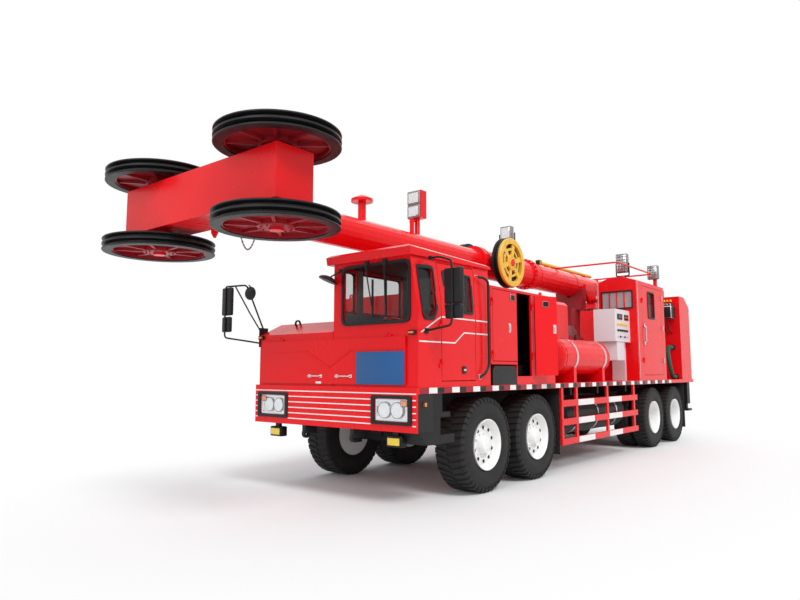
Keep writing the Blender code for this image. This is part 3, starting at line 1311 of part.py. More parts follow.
def main():
    for old in list(bpy.data.objects):
        bpy.data.objects.remove(old)
    chassis_frame()
    deck()
    front_bumper()
    entry_steps()
    hood()
    front_panel()
    cab_shell()
    cab_door()
    cab_roof()
    cab_glass()
    driver_seat()
    equipment_cabinet()
    cabinet_doors()
    battery_box()
    engine_cover()
    engine()
    air_receiver()
    switch_cabinet()
    control_cabin()
    control_cabin_door()
    mast_lower()
    mast_upper()
    crown_beam()
    crown_sheaves()
    guide_sheaves()
    cylinder_barrels()
    cylinder_rods()
    mast_support()
    mast_rest()
    drawworks()
    fuel_tank()
    side_guards()
    front_suspension()
    rear_suspension()
    knuckles()
    wheels()
    jack_legs()
    mirrors()
    green_hose()


main()
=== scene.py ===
"""Finish of a truck-mounted workover rig: paint, tyres, lamps, glass, sheaves and fittings.

Lengths are metres. Places along the vehicle are written as stations, the distance behind the
front bumper's face, and X is across with the driver's side positive.
"""

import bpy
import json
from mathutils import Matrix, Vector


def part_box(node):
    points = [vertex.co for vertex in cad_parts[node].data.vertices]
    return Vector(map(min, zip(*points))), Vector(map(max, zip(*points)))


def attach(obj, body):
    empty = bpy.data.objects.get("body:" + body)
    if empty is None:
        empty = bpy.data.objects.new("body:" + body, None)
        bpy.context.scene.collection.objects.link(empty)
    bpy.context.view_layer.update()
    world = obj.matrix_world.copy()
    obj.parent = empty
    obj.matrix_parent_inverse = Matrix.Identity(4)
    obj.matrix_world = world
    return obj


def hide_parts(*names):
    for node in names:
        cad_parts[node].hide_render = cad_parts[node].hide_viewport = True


bl_info = {
    "name": "Workover Rig Finish",
    "version": (1, 0, 0),
    "blender": (4, 5, 0),
    "location": "View3D > Sidebar > Rig",
    "description": "Paints and fits out a truck-mounted workover rig, one operator for each group of pieces",
    "category": "Add Mesh",
}

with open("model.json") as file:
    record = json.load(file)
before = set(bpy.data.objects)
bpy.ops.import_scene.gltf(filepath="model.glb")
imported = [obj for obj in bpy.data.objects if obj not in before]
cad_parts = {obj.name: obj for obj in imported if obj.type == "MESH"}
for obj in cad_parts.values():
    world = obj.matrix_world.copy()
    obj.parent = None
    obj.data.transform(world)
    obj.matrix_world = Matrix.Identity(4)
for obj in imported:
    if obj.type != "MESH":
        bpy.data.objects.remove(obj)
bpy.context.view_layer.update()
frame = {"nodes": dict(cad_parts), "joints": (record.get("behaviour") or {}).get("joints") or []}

import json
import math

import bmesh
import bpy
from bpy.props import FloatProperty, FloatVectorProperty, IntProperty, PointerProperty
from mathutils import Matrix, Vector

NOSE_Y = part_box("front_bumper")[0].y


def low(node):
    """A CAD node's lowest corner in (x, station, z)."""
    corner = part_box(node)[0]
    return Vector((corner.x, corner.y - NOSE_Y, corner.z))


def high(node):
    """A CAD node's highest corner in (x, station, z)."""
    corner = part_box(node)[1]
    return Vector((corner.x, corner.y - NOSE_Y, corner.z))


# ---------------------------------------------------------------- what a user would change
class RigPaint(bpy.types.PropertyGroup):
    """The rig's colours."""

    body: FloatVectorProperty(
        name="Body", description="Main enamel", subtype="COLOR", default=(0.78, 0.005, 0.009), min=0, max=1)
    # Painted shade: this darker red stands for the shade on the undersides of the crown sheave webs; the mast rest, the
    # winch frame and the deck strip's red fields use the same darker red.
    shade: FloatVectorProperty(
        name="Sheave web", description="Darker red of webs and the mast rest", subtype="COLOR",
        default=(0.30, 0.008, 0.014), min=0, max=1)
    sheave: FloatVectorProperty(
        name="Guide sheave", description="Yellow of the guide sheaves and the mast's pipe", subtype="COLOR",
        default=(0.80, 0.47, 0.03), min=0, max=1)
    plate: FloatVectorProperty(
        name="Front plate", description="Blank plate on the nose", subtype="COLOR",
        default=(0.003, 0.085, 0.27), min=0, max=1)
    rim: FloatVectorProperty(
        name="Rims", description="Wheel discs", subtype="COLOR", default=(0.88, 0.88, 0.87), min=0, max=1)
    switches: FloatVectorProperty(
        name="Switch cabinet", description="Pale sheet of the switch cabinet", subtype="COLOR",
        default=(0.72, 0.68, 0.70), min=0, max=1)
    hose: FloatVectorProperty(
        name="Hose", description="Fabric cover of the big hose", subtype="COLOR",
        default=(0.012, 0.085, 0.055), min=0, max=1)


class RigSizes(bpy.types.PropertyGroup):
    """The fittings' sizes."""

    edge: FloatProperty(
        name="Edge", description="Rounding of sheet edges", subtype="DISTANCE", default=0.006, min=0)
    tread_blocks: IntProperty(name="Tread blocks", description="Blocks round each shoulder", default=42, min=8)
    tread_depth: FloatProperty(
        name="Tread depth", description="Height of the blocks", subtype="DISTANCE", default=0.018, min=0)
    wheel_bolts: IntProperty(name="Wheel bolts", description="Studs in each wheel", default=10, min=3)
    stripes: IntProperty(name="Bumper stripes", description="White lines across the bumper", default=6, min=0)
    stripe_height: FloatProperty(
        name="Stripe height", description="Height of a bumper line", subtype="DISTANCE", default=0.013, min=0)
    marker: FloatProperty(
        name="Marker length", description="One red or white field on the deck's edge", subtype="DISTANCE",
        default=0.16, min=0.01)
    rope: FloatProperty(
        name="Rope", description="Diameter of the rope on the drum", subtype="DISTANCE", default=0.026, min=0.005)
    hose: FloatProperty(
        name="Hose", description="Outer radius of the big hose", subtype="DISTANCE", default=0.045, min=0.01)


# ---------------------------------------------------------------- finishes
def make_material(name, colour, rough=0.4, metal=0.0, vary=0.10, scale=1.4, bump=0.0, bump_scale=60.0,
                  coat=0.0, dust=0.0, dust_top=1.2, alpha=1.0, edge=0.0, shine=0.5):
    """A Principled finish with drifting colour and gloss, fine relief and dust that thins with height."""
    found = bpy.data.materials.get(name)
    if found:
        return found
    made = bpy.data.materials.new(name)
    made.use_nodes = True
    nodes, link = made.node_tree.nodes, made.node_tree.links.new
    shader = nodes["Principled BSDF"]
    shader.inputs["Metallic"].default_value = metal
    shader.inputs["Coat Weight"].default_value = coat
    shader.inputs["Coat Roughness"].default_value = 0.06
    shader.inputs["Alpha"].default_value = alpha
    shader.inputs["Specular IOR Level"].default_value = shine
    place = nodes.new("ShaderNodeTexCoord").outputs["Object"]
    drift = nodes.new("ShaderNodeTexNoise")
    drift.inputs["Scale"].default_value = scale
    drift.inputs["Detail"].default_value = 6
    link(place, drift.inputs["Vector"])
    tint = nodes.new("ShaderNodeMix")
    tint.data_type = "RGBA"
    tint.inputs[6].default_value = (*[c * (1 - vary) for c in colour], 1)
    tint.inputs[7].default_value = (*[min(1, c * (1 + vary)) for c in colour], 1)
    link(drift.outputs["Fac"], tint.inputs["Factor"])
    shade = tint.outputs[2]
    gloss = nodes.new("ShaderNodeMapRange")
    gloss.inputs["To Min"].default_value = max(0.02, rough - 0.08)
    gloss.inputs["To Max"].default_value = min(1.0, rough + 0.10)
    link(drift.outputs["Fac"], gloss.inputs["Value"])
    link(gloss.outputs["Result"], shader.inputs["Roughness"])
    if dust:
        height = nodes.new("ShaderNodeSeparateXYZ")
        link(place, height.inputs["Vector"])
        fade = nodes.new("ShaderNodeMapRange")
        fade.inputs["From Min"].default_value = dust_top
        fade.inputs["From Max"].default_value = 0.2
        fade.inputs["To Max"].default_value = dust
        link(height.outputs["Z"], fade.inputs["Value"])
        patch = nodes.new("ShaderNodeTexNoise")
        patch.inputs["Scale"].default_value = 9
        patch.inputs["Detail"].default_value = 8
        link(place, patch.inputs["Vector"])
        amount = nodes.new("ShaderNodeMath")
        amount.operation = "MULTIPLY"
        link(fade.outputs["Result"], amount.inputs[0])
        link(patch.outputs["Fac"], amount.inputs[1])
        cover = nodes.new("ShaderNodeMix")
        cover.data_type = "RGBA"
        link(amount.outputs["Value"], cover.inputs["Factor"])
        link(shade, cover.inputs[6])
        cover.inputs[7].default_value = (0.32, 0.27, 0.22, 1)
        shade = cover.outputs[2]
    link(shade, shader.inputs["Base Color"])
    normal = None
    if bump:
        grain = nodes.new("ShaderNodeTexNoise")
        grain.inputs["Scale"].default_value = bump_scale
        grain.inputs["Detail"].default_value = 4
        link(place, grain.inputs["Vector"])
        relief = nodes.new("ShaderNodeBump")
        relief.inputs["Strength"].default_value = bump
        relief.inputs["Distance"].default_value = 0.01
        link(grain.outputs["Fac"], relief.inputs["Height"])
        normal = relief
    if edge:
        rounded = nodes.new("ShaderNodeBevel")
        rounded.samples = 4
        rounded.inputs["Radius"].default_value = edge
        if normal:
            link(rounded.outputs["Normal"], normal.inputs["Normal"])
        normal = normal or rounded
    if normal:
        link(normal.outputs["Normal"], shader.inputs["Normal"])
    return made


def enamel():
    paint, sizes = bpy.context.scene.rig_paint, bpy.context.scene.rig_sizes
    return make_material("red enamel", paint.body, 0.26, vary=0.06, bump=0.05, bump_scale=5, coat=0.06,
                         dust=0.04, dust_top=1.5, edge=sizes.edge, shine=0.20)


# A darker copy of the body red: painted shade on the crown sheave webs, and a plain darker red on the mast rest, the
# winch frame and the deck strip's red fields.
def dark_red_and_shade_enamel():
    return make_material("dark red and painted shade", bpy.context.scene.rig_paint.shade, 0.42, vary=0.3, scale=5, bump=0.1,
                         bump_scale=30, coat=0.05, shine=0.35)


def black_paint():
    return make_material("chassis black", (0.007, 0.007, 0.008), 0.5, vary=0.4, scale=4, bump=0.15,
                         bump_scale=40, dust=0.05, dust_top=1.4, shine=0.25)


def black_plastic():
    return make_material("black moulding", (0.008, 0.008, 0.009), 0.42, vary=0.2, scale=6, bump=0.06,
                         bump_scale=220, shine=0.3)


def tyre_rubber():
    return make_material("tyre rubber", (0.011, 0.0115, 0.0125), 0.66, vary=0.35, scale=7, bump=0.22,
                         bump_scale=90, dust=0.06, dust_top=1.2, shine=0.25)


def rim_paint():
    return make_material("rim white", bpy.context.scene.rig_paint.rim, 0.42, vary=0.06, scale=6, bump=0.06,
                         bump_scale=40, dust=0.12, dust_top=1.3)


def steel():
    return make_material("bright steel", (0.62, 0.62, 0.63), 0.25, metal=1.0, vary=0.1, scale=20, bump=0.05,
                         bump_scale=150)


def galvanised():
    return make_material("weathered grey metal", (0.28, 0.26, 0.25), 0.5, metal=0.55, vary=0.3, scale=14,
                         bump=0.12, bump_scale=70)


def chrome():
    return make_material("lamp reflector", (0.86, 0.86, 0.87), 0.08, metal=1.0, vary=0.05)


def clear_glass():
    return make_material("lamp glass", (0.80, 0.82, 0.83), 0.05, alpha=0.16, bump=0.1, bump_scale=90, coat=1.0)


def dark_glass():
    return make_material("window glass", (0.02, 0.025, 0.025), 0.03, alpha=0.16, vary=0.2, coat=0.6)


def amber():
    return make_material("amber lens", (0.85, 0.22, 0.02), 0.2, vary=0.15, scale=60, coat=0.6)


def fog_yellow():
    return make_material("fog lens", (0.85, 0.60, 0.03), 0.2, vary=0.25, scale=50, coat=0.6)


def white_line():
    return make_material("white line", (0.82, 0.80, 0.78), 0.5, vary=0.05)


def yellow():
    return make_material("sheave yellow", bpy.context.scene.rig_paint.sheave, 0.4, vary=0.12, scale=8,
                         bump=0.06, bump_scale=40, coat=0.2)


def plate_blue():
    return make_material("blank plate blue", bpy.context.scene.rig_paint.plate, 0.42, vary=0.03)


def switch_grey():
    return make_material("switch cabinet sheet", bpy.context.scene.rig_paint.switches, 0.45, vary=0.05,
                         bump=0.05, bump_scale=8, edge=0.005)


def hose_fabric():
    return make_material("hose cover", bpy.context.scene.rig_paint.hose, 0.85, vary=0.5, scale=18, bump=0.7,
                         bump_scale=70)


def seat_fabric():
    return make_material("seat cloth", (0.30, 0.02, 0.035), 0.9, vary=0.3, scale=40, bump=0.5, bump_scale=260)


def cabin_grey():
    return make_material("cab trim grey", (0.22, 0.22, 0.22), 0.7, vary=0.2, scale=8, bump=0.1, bump_scale=120)


def engine_grey():
    return make_material("engine grey", (0.10, 0.11, 0.12), 0.5, metal=0.2, vary=0.3, scale=10, bump=0.15)


# ---------------------------------------------------------------- building
class Shape:
    """Closed shells gathered in one mesh. Every place is (x, station, z)."""

    def __init__(self, *finishes):
        self.mesh = bmesh.new()
        self.finishes = finishes
        self.finish = 0

    def use(self, finish):
        self.finish = finish
        return self

    def _mark(self, faces):
        for face in faces:
            face.material_index = self.finish

    def box(self, x, s, z, round_by=0.0, segments=2):
        corners = [self.mesh.verts.new((a, b, c)) for a in x for b in s for c in z]
        sides = ((0, 1, 3, 2), (4, 6, 7, 5), (0, 4, 5, 1), (2, 3, 7, 6), (0, 2, 6, 4), (1, 5, 7, 3))
        faces = [self.mesh.faces.new([corners[i] for i in side]) for side in sides]
        self._mark(faces)
        if round_by:
            edges = list({edge for face in faces for edge in face.edges})
            bmesh.ops.bevel(self.mesh, geom=edges, offset=round_by, segments=segments, profile=0.5,
                            affect="EDGES", clamp_overlap=True)
        return corners

    def rings(self, rings, closed=False):
        """Joins rings of points one to the next, and caps the two ends."""
        made = [[self.mesh.verts.new(point) for point in ring] for ring in rings]
        faces = []
        pairs = list(zip(made, made[1:]))
        if closed:
            pairs.append((made[-1], made[0]))
        elif len(made[0]) > 1:
            faces += [self.mesh.faces.new(made[0]), self.mesh.faces.new(made[-1])]
        for first, second in pairs:
            for i in range(max(len(first), len(second))):
                j = i + 1
                ring = [first[i % len(first)], first[j % len(first)],
                        second[j % len(second)], second[i % len(second)]]
                ring = [v for n, v in enumerate(ring) if v not in ring[:n]]
                if len(ring) > 2:
                    faces.append(self.mesh.faces.new(ring))
        self._mark(faces)
        return made

    def turned(self, centre, axis, profile, sides=32, closed=False):
        """A profile of (along, radius) turned round an axis; closed joins its two ends into a ring."""
        axis = Vector(axis).normalized()
        across = axis.orthogonal().normalized()
        third = axis.cross(across)
        centre = Vector(centre)
        rings = []
        for along, radius in profile:
            if radius < 1e-6 and not closed:
                rings.append([centre + axis * along])
                continue
            turns = [2 * math.pi * i / sides for i in range(sides)]
            rings.append([
                centre + axis * along + radius * (across * math.cos(t) + third * math.sin(t)) for t in turns
            ])
        made = [[self.mesh.verts.new(point) for point in ring] for ring in rings]
        pairs = list(zip(made, made[1:]))
        if closed:
            pairs.append((made[-1], made[0]))
        faces = []
        for first, second in pairs:
            for i in range(sides):
                ring = [first[i % len(first)], first[(i + 1) % sides % len(first)],
                        second[(i + 1) % sides % len(second)], second[i % len(second)]]
                ring = [v for n, v in enumerate(ring) if v not in ring[:n]]
                if len(ring) > 2:
                    faces.append(self.mesh.faces.new(ring))
        if not closed:
            faces += [self.mesh.faces.new(ring) for ring in (made[0], made[-1]) if len(ring) > 2]
        self._mark(faces)

    def disc(self, centre, axis, radius, thick, sides=24, round_by=0.0):
        """A short cylinder from centre along axis, its far edge rounded."""
        r = round_by or 0.0
        profile = [(0, 0), (0, radius), (thick - r, radius)]
        if r:
            profile.append((thick, radius - r))
        else:
            profile.append((thick, radius))
        self.turned(centre, axis, profile + [(thick, 0)], sides)

    def bar(self, a, b, radius, sides=10):
        a, b = Vector(a), Vector(b)
        self.disc(a, b - a, radius, (b - a).length, sides)

    def pipe(self, points, radius, sides=10, bend=0.0):
        """A round bar through points, each corner turned on a bend of that radius."""
        points = rounded_path(points, bend) if bend else [Vector(p) for p in points]
        rings, side = [], None
        for i, point in enumerate(points):
            back = (point - points[i - 1]).normalized() if i else (points[1] - point).normalized()
            ahead = (points[i + 1] - point).normalized() if i + 1 < len(points) else back
            along = (back + ahead).normalized()
            side = along.orthogonal().normalized() if side is None else (side - along * side.dot(along)).normalized()
            other = along.cross(side)
            turns = [2 * math.pi * n / sides for n in range(sides)]
            rings.append([point + radius * (side * math.cos(t) + other * math.sin(t)) for t in turns])
        self.rings(rings)

    def prism(self, axis, outline, start, end, round_by=0.0):
        """An outline of (first, second) coordinates pushed from start to end along an axis."""
        place = {"X": lambda a, b, t: (t, a, b), "Y": lambda a, b, t: (a, t, b), "Z": lambda a, b, t: (a, b, t)}
        put = place[axis]
        ends = [[self.mesh.verts.new(put(a, b, t)) for a, b in outline] for t in (start, end)]
        faces = [self.mesh.faces.new(ends[0]), self.mesh.faces.new(ends[1])]
        for i in range(len(outline)):
            j = (i + 1) % len(outline)
            faces.append(self.mesh.faces.new((ends[0][i], ends[0][j], ends[1][j], ends[1][i])))
        self._mark(faces)
        if round_by:
            edges = list({edge for face in faces for edge in face.edges})
            bmesh.ops.bevel(self.mesh, geom=edges, offset=round_by, segments=2, profile=0.5, affect="EDGES")

    def band(self, outer, inner, lift, thick):
        """A flat frame between two outlines with as many points: lift puts (a, b) in space at a depth."""
        rings = [[lift(a, b, d) for a, b in line] for line, d in (
            (outer, 0), (outer, thick), (inner, thick), (inner, 0))]
        made = [[self.mesh.verts.new(point) for point in ring] for ring in rings]
        faces = []
        for first, second in zip(made, made[1:] + made[:1]):
            for i in range(len(first)):
                j = (i + 1) % len(first)
                faces.append(self.mesh.faces.new((first[i], first[j], second[j], second[i])))
        self._mark(faces)

    def bolts(self, centre, axis, ring, count, radius, tall, start=0.0):
        """Hexagon heads round a circle."""
        axis = Vector(axis).normalized()
        across = axis.orthogonal().normalized()
        third = axis.cross(across)
        for i in range(count):
            turn = start + 2 * math.pi * i / count
            foot = Vector(centre) + ring * (across * math.cos(turn) + third * math.sin(turn))
            self.turned(foot, axis, [(0, 0), (0, radius), (tall, radius), (tall * 1.15, radius * 0.6),
                                     (tall * 1.15, 0)], 6)

    def mirror_too(self):
        """Adds the same shapes on the other side of the vehicle."""
        copied = bmesh.ops.duplicate(self.mesh, geom=self.mesh.verts[:] + self.mesh.edges[:] + self.mesh.faces[:])
        fresh = [item for item in copied["geom"] if isinstance(item, bmesh.types.BMVert)]
        for vert in fresh:
            vert.co.x = -vert.co.x
        faces = [item for item in copied["geom"] if isinstance(item, bmesh.types.BMFace)]
        bmesh.ops.reverse_faces(self.mesh, faces=faces)
        return self

    def spin(self, centre, axis, degrees):
        turn = Matrix.Rotation(math.radians(degrees), 4, Vector(axis))
        middle = Matrix.Translation(Vector(centre))
        bmesh.ops.transform(self.mesh, matrix=middle @ turn @ middle.inverted(), verts=self.mesh.verts)
        return self

    def done(self, name, body, slot, replaces=()):
        """Makes the object, which rides on a body and may stand for CAD nodes."""
        bmesh.ops.recalc_face_normals(self.mesh, faces=self.mesh.faces)
        bmesh.ops.translate(self.mesh, verts=self.mesh.verts, vec=(0, NOSE_Y, 0))
        data = bpy.data.meshes.new(name)
        self.mesh.to_mesh(data)
        self.mesh.free()
        for finish in self.finishes:
            data.materials.append(finish)
        data.shade_smooth()
        data.set_sharp_from_angle(angle=math.radians(32))
        return place_piece(name, data, body, replaces)


def place_piece(name, data, body, replaces=(), offset=(0, 0, 0)):
    made = bpy.data.objects.new(name, data)
    made.location = offset
    bpy.context.scene.collection.objects.link(made)
    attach(made, body)
    if replaces:
        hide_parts(*replaces)
    return made


def rounded_path(points, bend):
    """The path with each corner turned on an arc."""
    points = [Vector(p) for p in points]
    path = [points[0]]
    for before, corner, after in zip(points, points[1:], points[2:]):
        cut = min(bend, (corner - before).length * 0.45, (after - corner).length * 0.45)
        first = corner + (before - corner).normalized() * cut
        last = corner + (after - corner).normalized() * cut
        for step in range(5):
            t = step / 4
            path.append((1 - t) ** 2 * first + 2 * t * (1 - t) * corner + t * t * last)
    return path + [points[-1]]


def rounded_outline(points, radius, steps=4):
    """A flat outline with rounded corners."""
    line = []
    count = len(points)
    for i in range(count):
        before, corner, after = (Vector(points[(i + k) % count]) for k in (-1, 0, 1))
        cut = min(radius, (corner - before).length * 0.45, (after - corner).length * 0.45)
        first = corner + (before - corner).normalized() * cut
        last = corner + (after - corner).normalized() * cut
        for step in range(steps + 1):
            t = step / steps
            line.append(tuple((1 - t) ** 2 * first + 2 * t * (1 - t) * corner + t * t * last))
    return line


def rectangle(a, b):
    return [(a[0], b[0]), (a[1], b[0]), (a[1], b[1]), (a[0], b[1])]


def grown(points, by):
    """A convex outline moved outward, or inward where by is negative."""
    middle = sum((Vector(p) for p in points), Vector((0, 0))) / len(points)
    reach = [Vector(p) - middle for p in points]
    return [tuple(middle + r * (1 + by * 1.3 / r.length)) for r in reach]


def cab_side(station, z):
    """X of the cab's leaning side at a station and height."""
    shoulder, top, front, rear = 2.18, 2.862, 0.05, 1.585
    if z <= shoulder:
        return 1.385
    lean = (z - shoulder) / (top - shoulder)
    edge = 1.275 + (1.36 - 1.275) * (station - front) / (rear - front)
    return 1.385 + (edge - 1.385) * lean


def box_at(node, finish):
    """Gives a CAD node that stays in view its finish."""
    shown = frame["nodes"][node]
    shown.data.materials.clear()
    shown.data.materials.append(finish)


# ---------------------------------------------------------------- operators
class RIG_OT_stage(bpy.types.Operator):
    """Sets the floor, the lights, the world and the camera"""

    bl_idname = "rig.stage"
    bl_label = "Stage"

    def execute(self, context):
        scene = context.scene
        scene.view_settings.view_transform = "Standard"
        bpy.ops.mesh.primitive_plane_add(size=120, location=(0, 0, -0.002))
        floor = context.object
        floor.name = "floor"
        finish = bpy.data.materials.new("floor")
        finish.use_nodes = True
        nodes, link = finish.node_tree.nodes, finish.node_tree.links.new
        shader = nodes["Principled BSDF"]
        shader.inputs["Base Color"].default_value = (0.86, 0.86, 0.86, 1)
        shader.inputs["Roughness"].default_value = 0.9
        glow = nodes.new("ShaderNodeEmission")
        glow.inputs["Color"].default_value = (1, 1, 1, 1)
        place = nodes.new("ShaderNodeTexCoord")
        reach = nodes.new("ShaderNodeVectorMath")
        reach.operation = "LENGTH"
        squash = nodes.new("ShaderNodeMapping")
        squash.inputs["Scale"].default_value = (1.4, 0.75, 1)
        link(place.outputs["Object"], squash.inputs["Vector"])
        link(squash.outputs["Vector"], reach.inputs[0])
        fade = nodes.new("ShaderNodeMapRange")
        fade.interpolation_type = "SMOOTHSTEP"
        fade.inputs["From Min"].default_value = 3.2
        fade.inputs["From Max"].default_value = 7.5
        link(reach.outputs["Value"], fade.inputs["Value"])
        seen = nodes.new("ShaderNodeLightPath")
        least = nodes.new("ShaderNodeMath")
        least.operation = "MULTIPLY"
        link(seen.outputs["Is Camera Ray"], least.inputs[0])
        link(fade.outputs["Result"], least.inputs[1])
        mixed = nodes.new("ShaderNodeMixShader")
        link(least.outputs["Value"], mixed.inputs["Fac"])
        link(shader.outputs["BSDF"], mixed.inputs[1])
        link(glow.outputs["Emission"], mixed.inputs[2])
        link(mixed.outputs["Shader"], nodes["Material Output"].inputs["Surface"])
        floor.data.materials.append(finish)

        world = bpy.data.worlds.new("studio")
        scene.world = world
        world.use_nodes = True
        nodes, link = world.node_tree.nodes, world.node_tree.links.new
        light = nodes["Background"]
        light.inputs["Color"].default_value = (0.93, 0.96, 1.0, 1)
        light.inputs["Strength"].default_value = 0.55
        back = nodes.new("ShaderNodeBackground")
        back.inputs["Color"].default_value = (1, 1, 1, 1)
        path = nodes.new("ShaderNodeLightPath")
        seen = path.outputs["Is Camera Ray"]
        for other in ("Is Transmission Ray", "Is Glossy Ray"):
            either = nodes.new("ShaderNodeMath")
            either.operation = "MAXIMUM"
            link(seen, either.inputs[0])
            link(path.outputs[other], either.inputs[1])
            seen = either.outputs["Value"]
        mixed = nodes.new("ShaderNodeMixShader")
        link(seen, mixed.inputs["Fac"])
        link(light.outputs["Background"], mixed.inputs[1])
        link(back.outputs["Background"], mixed.inputs[2])
        link(mixed.outputs["Shader"], nodes["World Output"].inputs["Surface"])

        for name, strength, angle, turn in (
            ("key", 1.7, 22, (42, 0, 72)), ("front", 0.95, 40, (60, 0, 8)), ("back", 0.35, 50, (55, 0, 200)),
        ):
            lamp = bpy.data.lights.new(name, "SUN")
            lamp.energy = strength
            lamp.angle = math.radians(angle)
            made = bpy.data.objects.new(name, lamp)
            made.rotation_euler = [math.radians(a) for a in turn]
            scene.collection.objects.link(made)

        view = bpy.data.cameras.new("camera")
        view.lens = 28.98
        view.sensor_width = 36
        camera = bpy.data.objects.new("camera", view)
        camera.location = (5.806, -5.660 + NOSE_Y, 1.530)
        camera.rotation_euler = (math.radians(90 + 6.309), 0, math.radians(39.348))
        scene.collection.objects.link(camera)
        scene.camera = camera
        return {"FINISHED"}


class RIG_OT_paint(bpy.types.Operator):
    """Paints the frame's own sheet, tubes and castings"""

    bl_idname = "rig.paint"
    bl_label = "Paint"

    def execute(self, context):
        red, black = enamel(), black_paint()
        finishes = {
            black: ("chassis_frame", "entry_steps", "front_suspension", "rear_suspension", "fuel_tank",
                    "jack_leg_left", "jack_leg_right", "knuckle_1_left", "knuckle_1_right",
                    "knuckle_2_left", "knuckle_2_right"),
            # The mast rest and the winch frame take the same darker red that stands for painted shade on the sheave
            # webs.
            dark_red_and_shade_enamel(): ("mast_rest", "winch_frame"),
            black_plastic(): ("battery_box",),
            dark_glass(): ("windshield", "door_window"),
            engine_grey(): ("engine",),
            steel(): ("cylinder_rods", "winch_drum"),
            switch_grey(): ("switch_cabinet",),
        }
        special = {name: finish for finish, names in finishes.items() for name in names}
        for name in frame["nodes"]:
            box_at(name, special.get(name, red))
        return {"FINISHED"}


class RIG_OT_wheels(bpy.types.Operator):
    """Fits treaded tyres on white discs with studs and hubs"""

    bl_idname = "rig.wheels"
    bl_label = "Wheels"

    radius = 0.60

    def tyre(self, shape, middle, half, bead, blocks, depth):
        """One tyre about the X axis, its middle plane at a distance along the axle."""
        r = self.radius
        base = r - depth
        side = [(half - 0.045, bead), (half - 0.03, bead + 0.012), (half - 0.012, bead + 0.05),
                (half, bead + 0.12), (half - 0.002, bead + 0.17), (half - 0.012, base - 0.03),
                (half - 0.035, base), (half * 0.4, base + 0.004)]
        profile = side + [(-along, radius) for along, radius in reversed(side)]
        shape.turned((middle, 0, 0), (1, 0, 0), profile, 72, closed=True)
        step = 2 * math.pi / blocks
        for i in range(blocks):
            for hand in (1, -1):
                turn = step * (i + (0.5 if hand < 0 else 0))
                rings = []
                for along, inner, outer, slant, width in (
                    (half - 0.002, base - 0.045, r - 0.034, 0.0, 0.33), (half - 0.026, base - 0.02, r - 0.004, 0.05, 0.34),
                    (half * 0.5, base - 0.01, r, 0.22, 0.30), (half * 0.06, base - 0.01, r, 0.42, 0.24),
                ):
                    ring = []
                    for away, edge in ((inner, -1), (outer, -1), (outer, 1), (inner, 1)):
                        t = turn + step * (slant + edge * width)
                        ring.append((middle + hand * along, away * math.cos(t), away * math.sin(t)))
                    rings.append(ring)
                shape.rings(rings)

    def disc(self, shape, front, bolts):
        """The rim and disc: a shallow cover on a steered wheel, a deep dish on a driven one."""
        if front:
            profile = [(0.205, 0.318), (0.212, 0.322), (0.214, 0.312), (0.200, 0.300), (0.150, 0.290),
                       (0.120, 0.272), (0.118, 0.262), (0.135, 0.225), (0.140, 0.19), (0.120, 0.168),
                       (0.122, 0.125), (0.165, 0.112), (0.200, 0.100), (0.206, 0.088), (0.206, 0.0)]
            shape.turned((0, 0, 0), (1, 0, 0), [(-0.19, 0), (-0.19, 0.315), (-0.16, 0.300), (0.10, 0.298)] + profile, 56)
            shape.bolts((0.120, 0, 0), (1, 0, 0), 0.148, bolts, 0.0135, 0.022)
            shape.bolts((0.206, 0, 0), (1, 0, 0), 0.070, 8, 0.007, 0.006)
            holes, hole_face, hole_ring = 10, 0.1385, 0.212
        else:
            profile = [(0.318, 0.318), (0.326, 0.322), (0.327, 0.310), (0.312, 0.300), (0.26, 0.288),
                       (0.07, 0.276), (0.04, 0.262), (0.030, 0.225), (0.040, 0.175), (0.040, 0.135),
                       (0.08, 0.122), (0.19, 0.116), (0.20, 0.105), (0.20, 0.0)]
            shape.turned((0, 0, 0), (1, 0, 0), [(-0.31, 0), (-0.31, 0.315), (-0.28, 0.298)] + profile, 56)
            shape.bolts((0.040, 0, 0), (1, 0, 0), 0.155, bolts, 0.0135, 0.03)
            shape.bolts((0.20, 0, 0), (1, 0, 0), 0.085, 8, 0.007, 0.006)
            holes, hole_face, hole_ring = 10, 0.031, 0.222
        shape.use(1)
        for i in range(holes):
            turn = 2 * math.pi * (i + 0.5) / holes
            spot = (hole_face, hole_ring * math.cos(turn), hole_ring * math.sin(turn))
            shape.turned(spot, (1, 0, 0), [(0, 0), (0, 0.021), (0.0035, 0.024), (0.0035, 0)], 16)
        shape.use(0)

    def execute(self, context):
        sizes = context.scene.rig_sizes
        rubber, white, black = tyre_rubber(), rim_paint(), black_paint()
        for kind in ("front", "rear"):
            front = kind == "front"
            for side, hand in (("left", 1), ("right", -1)):
                tyre, rim = Shape(rubber), Shape(white, black)
                if front:
                    self.tyre(tyre, 0, 0.215, 0.305, sizes.tread_blocks, sizes.tread_depth)
                else:
                    for middle in (0.1775, -0.1775):
                        self.tyre(tyre, middle, 0.152, 0.305, sizes.tread_blocks, sizes.tread_depth)
                self.disc(rim, front, sizes.wheel_bolts)
                meshes = []
                for shape, label in ((tyre, "tyre"), (rim, "rim")):
                    if hand < 0:
                        for vert in shape.mesh.verts:
                            vert.co.x = -vert.co.x
                        bmesh.ops.reverse_faces(shape.mesh, faces=shape.mesh.faces)
                    bmesh.ops.recalc_face_normals(shape.mesh, faces=shape.mesh.faces)
                    data = bpy.data.meshes.new(f"{kind}_{label}_{side}")
                    shape.mesh.to_mesh(data)
                    shape.mesh.free()
                    for finish in shape.finishes:
                        data.materials.append(finish)
                    data.shade_smooth()
                    data.set_sharp_from_angle(angle=math.radians(32))
                    meshes.append((label, data))
                for number in (1, 2):
                    node = f"wheel_{kind}_{number}_{side}"
                    joint = next(j for j in frame["joints"] if j["child"] == node)
                    for label, data in meshes:
                        place_piece(f"{label}_{kind}_{number}_{side}", data, node,
                                    (node,) if label == "tyre" else (), joint["pos_m"])
        return {"FINISHED"}


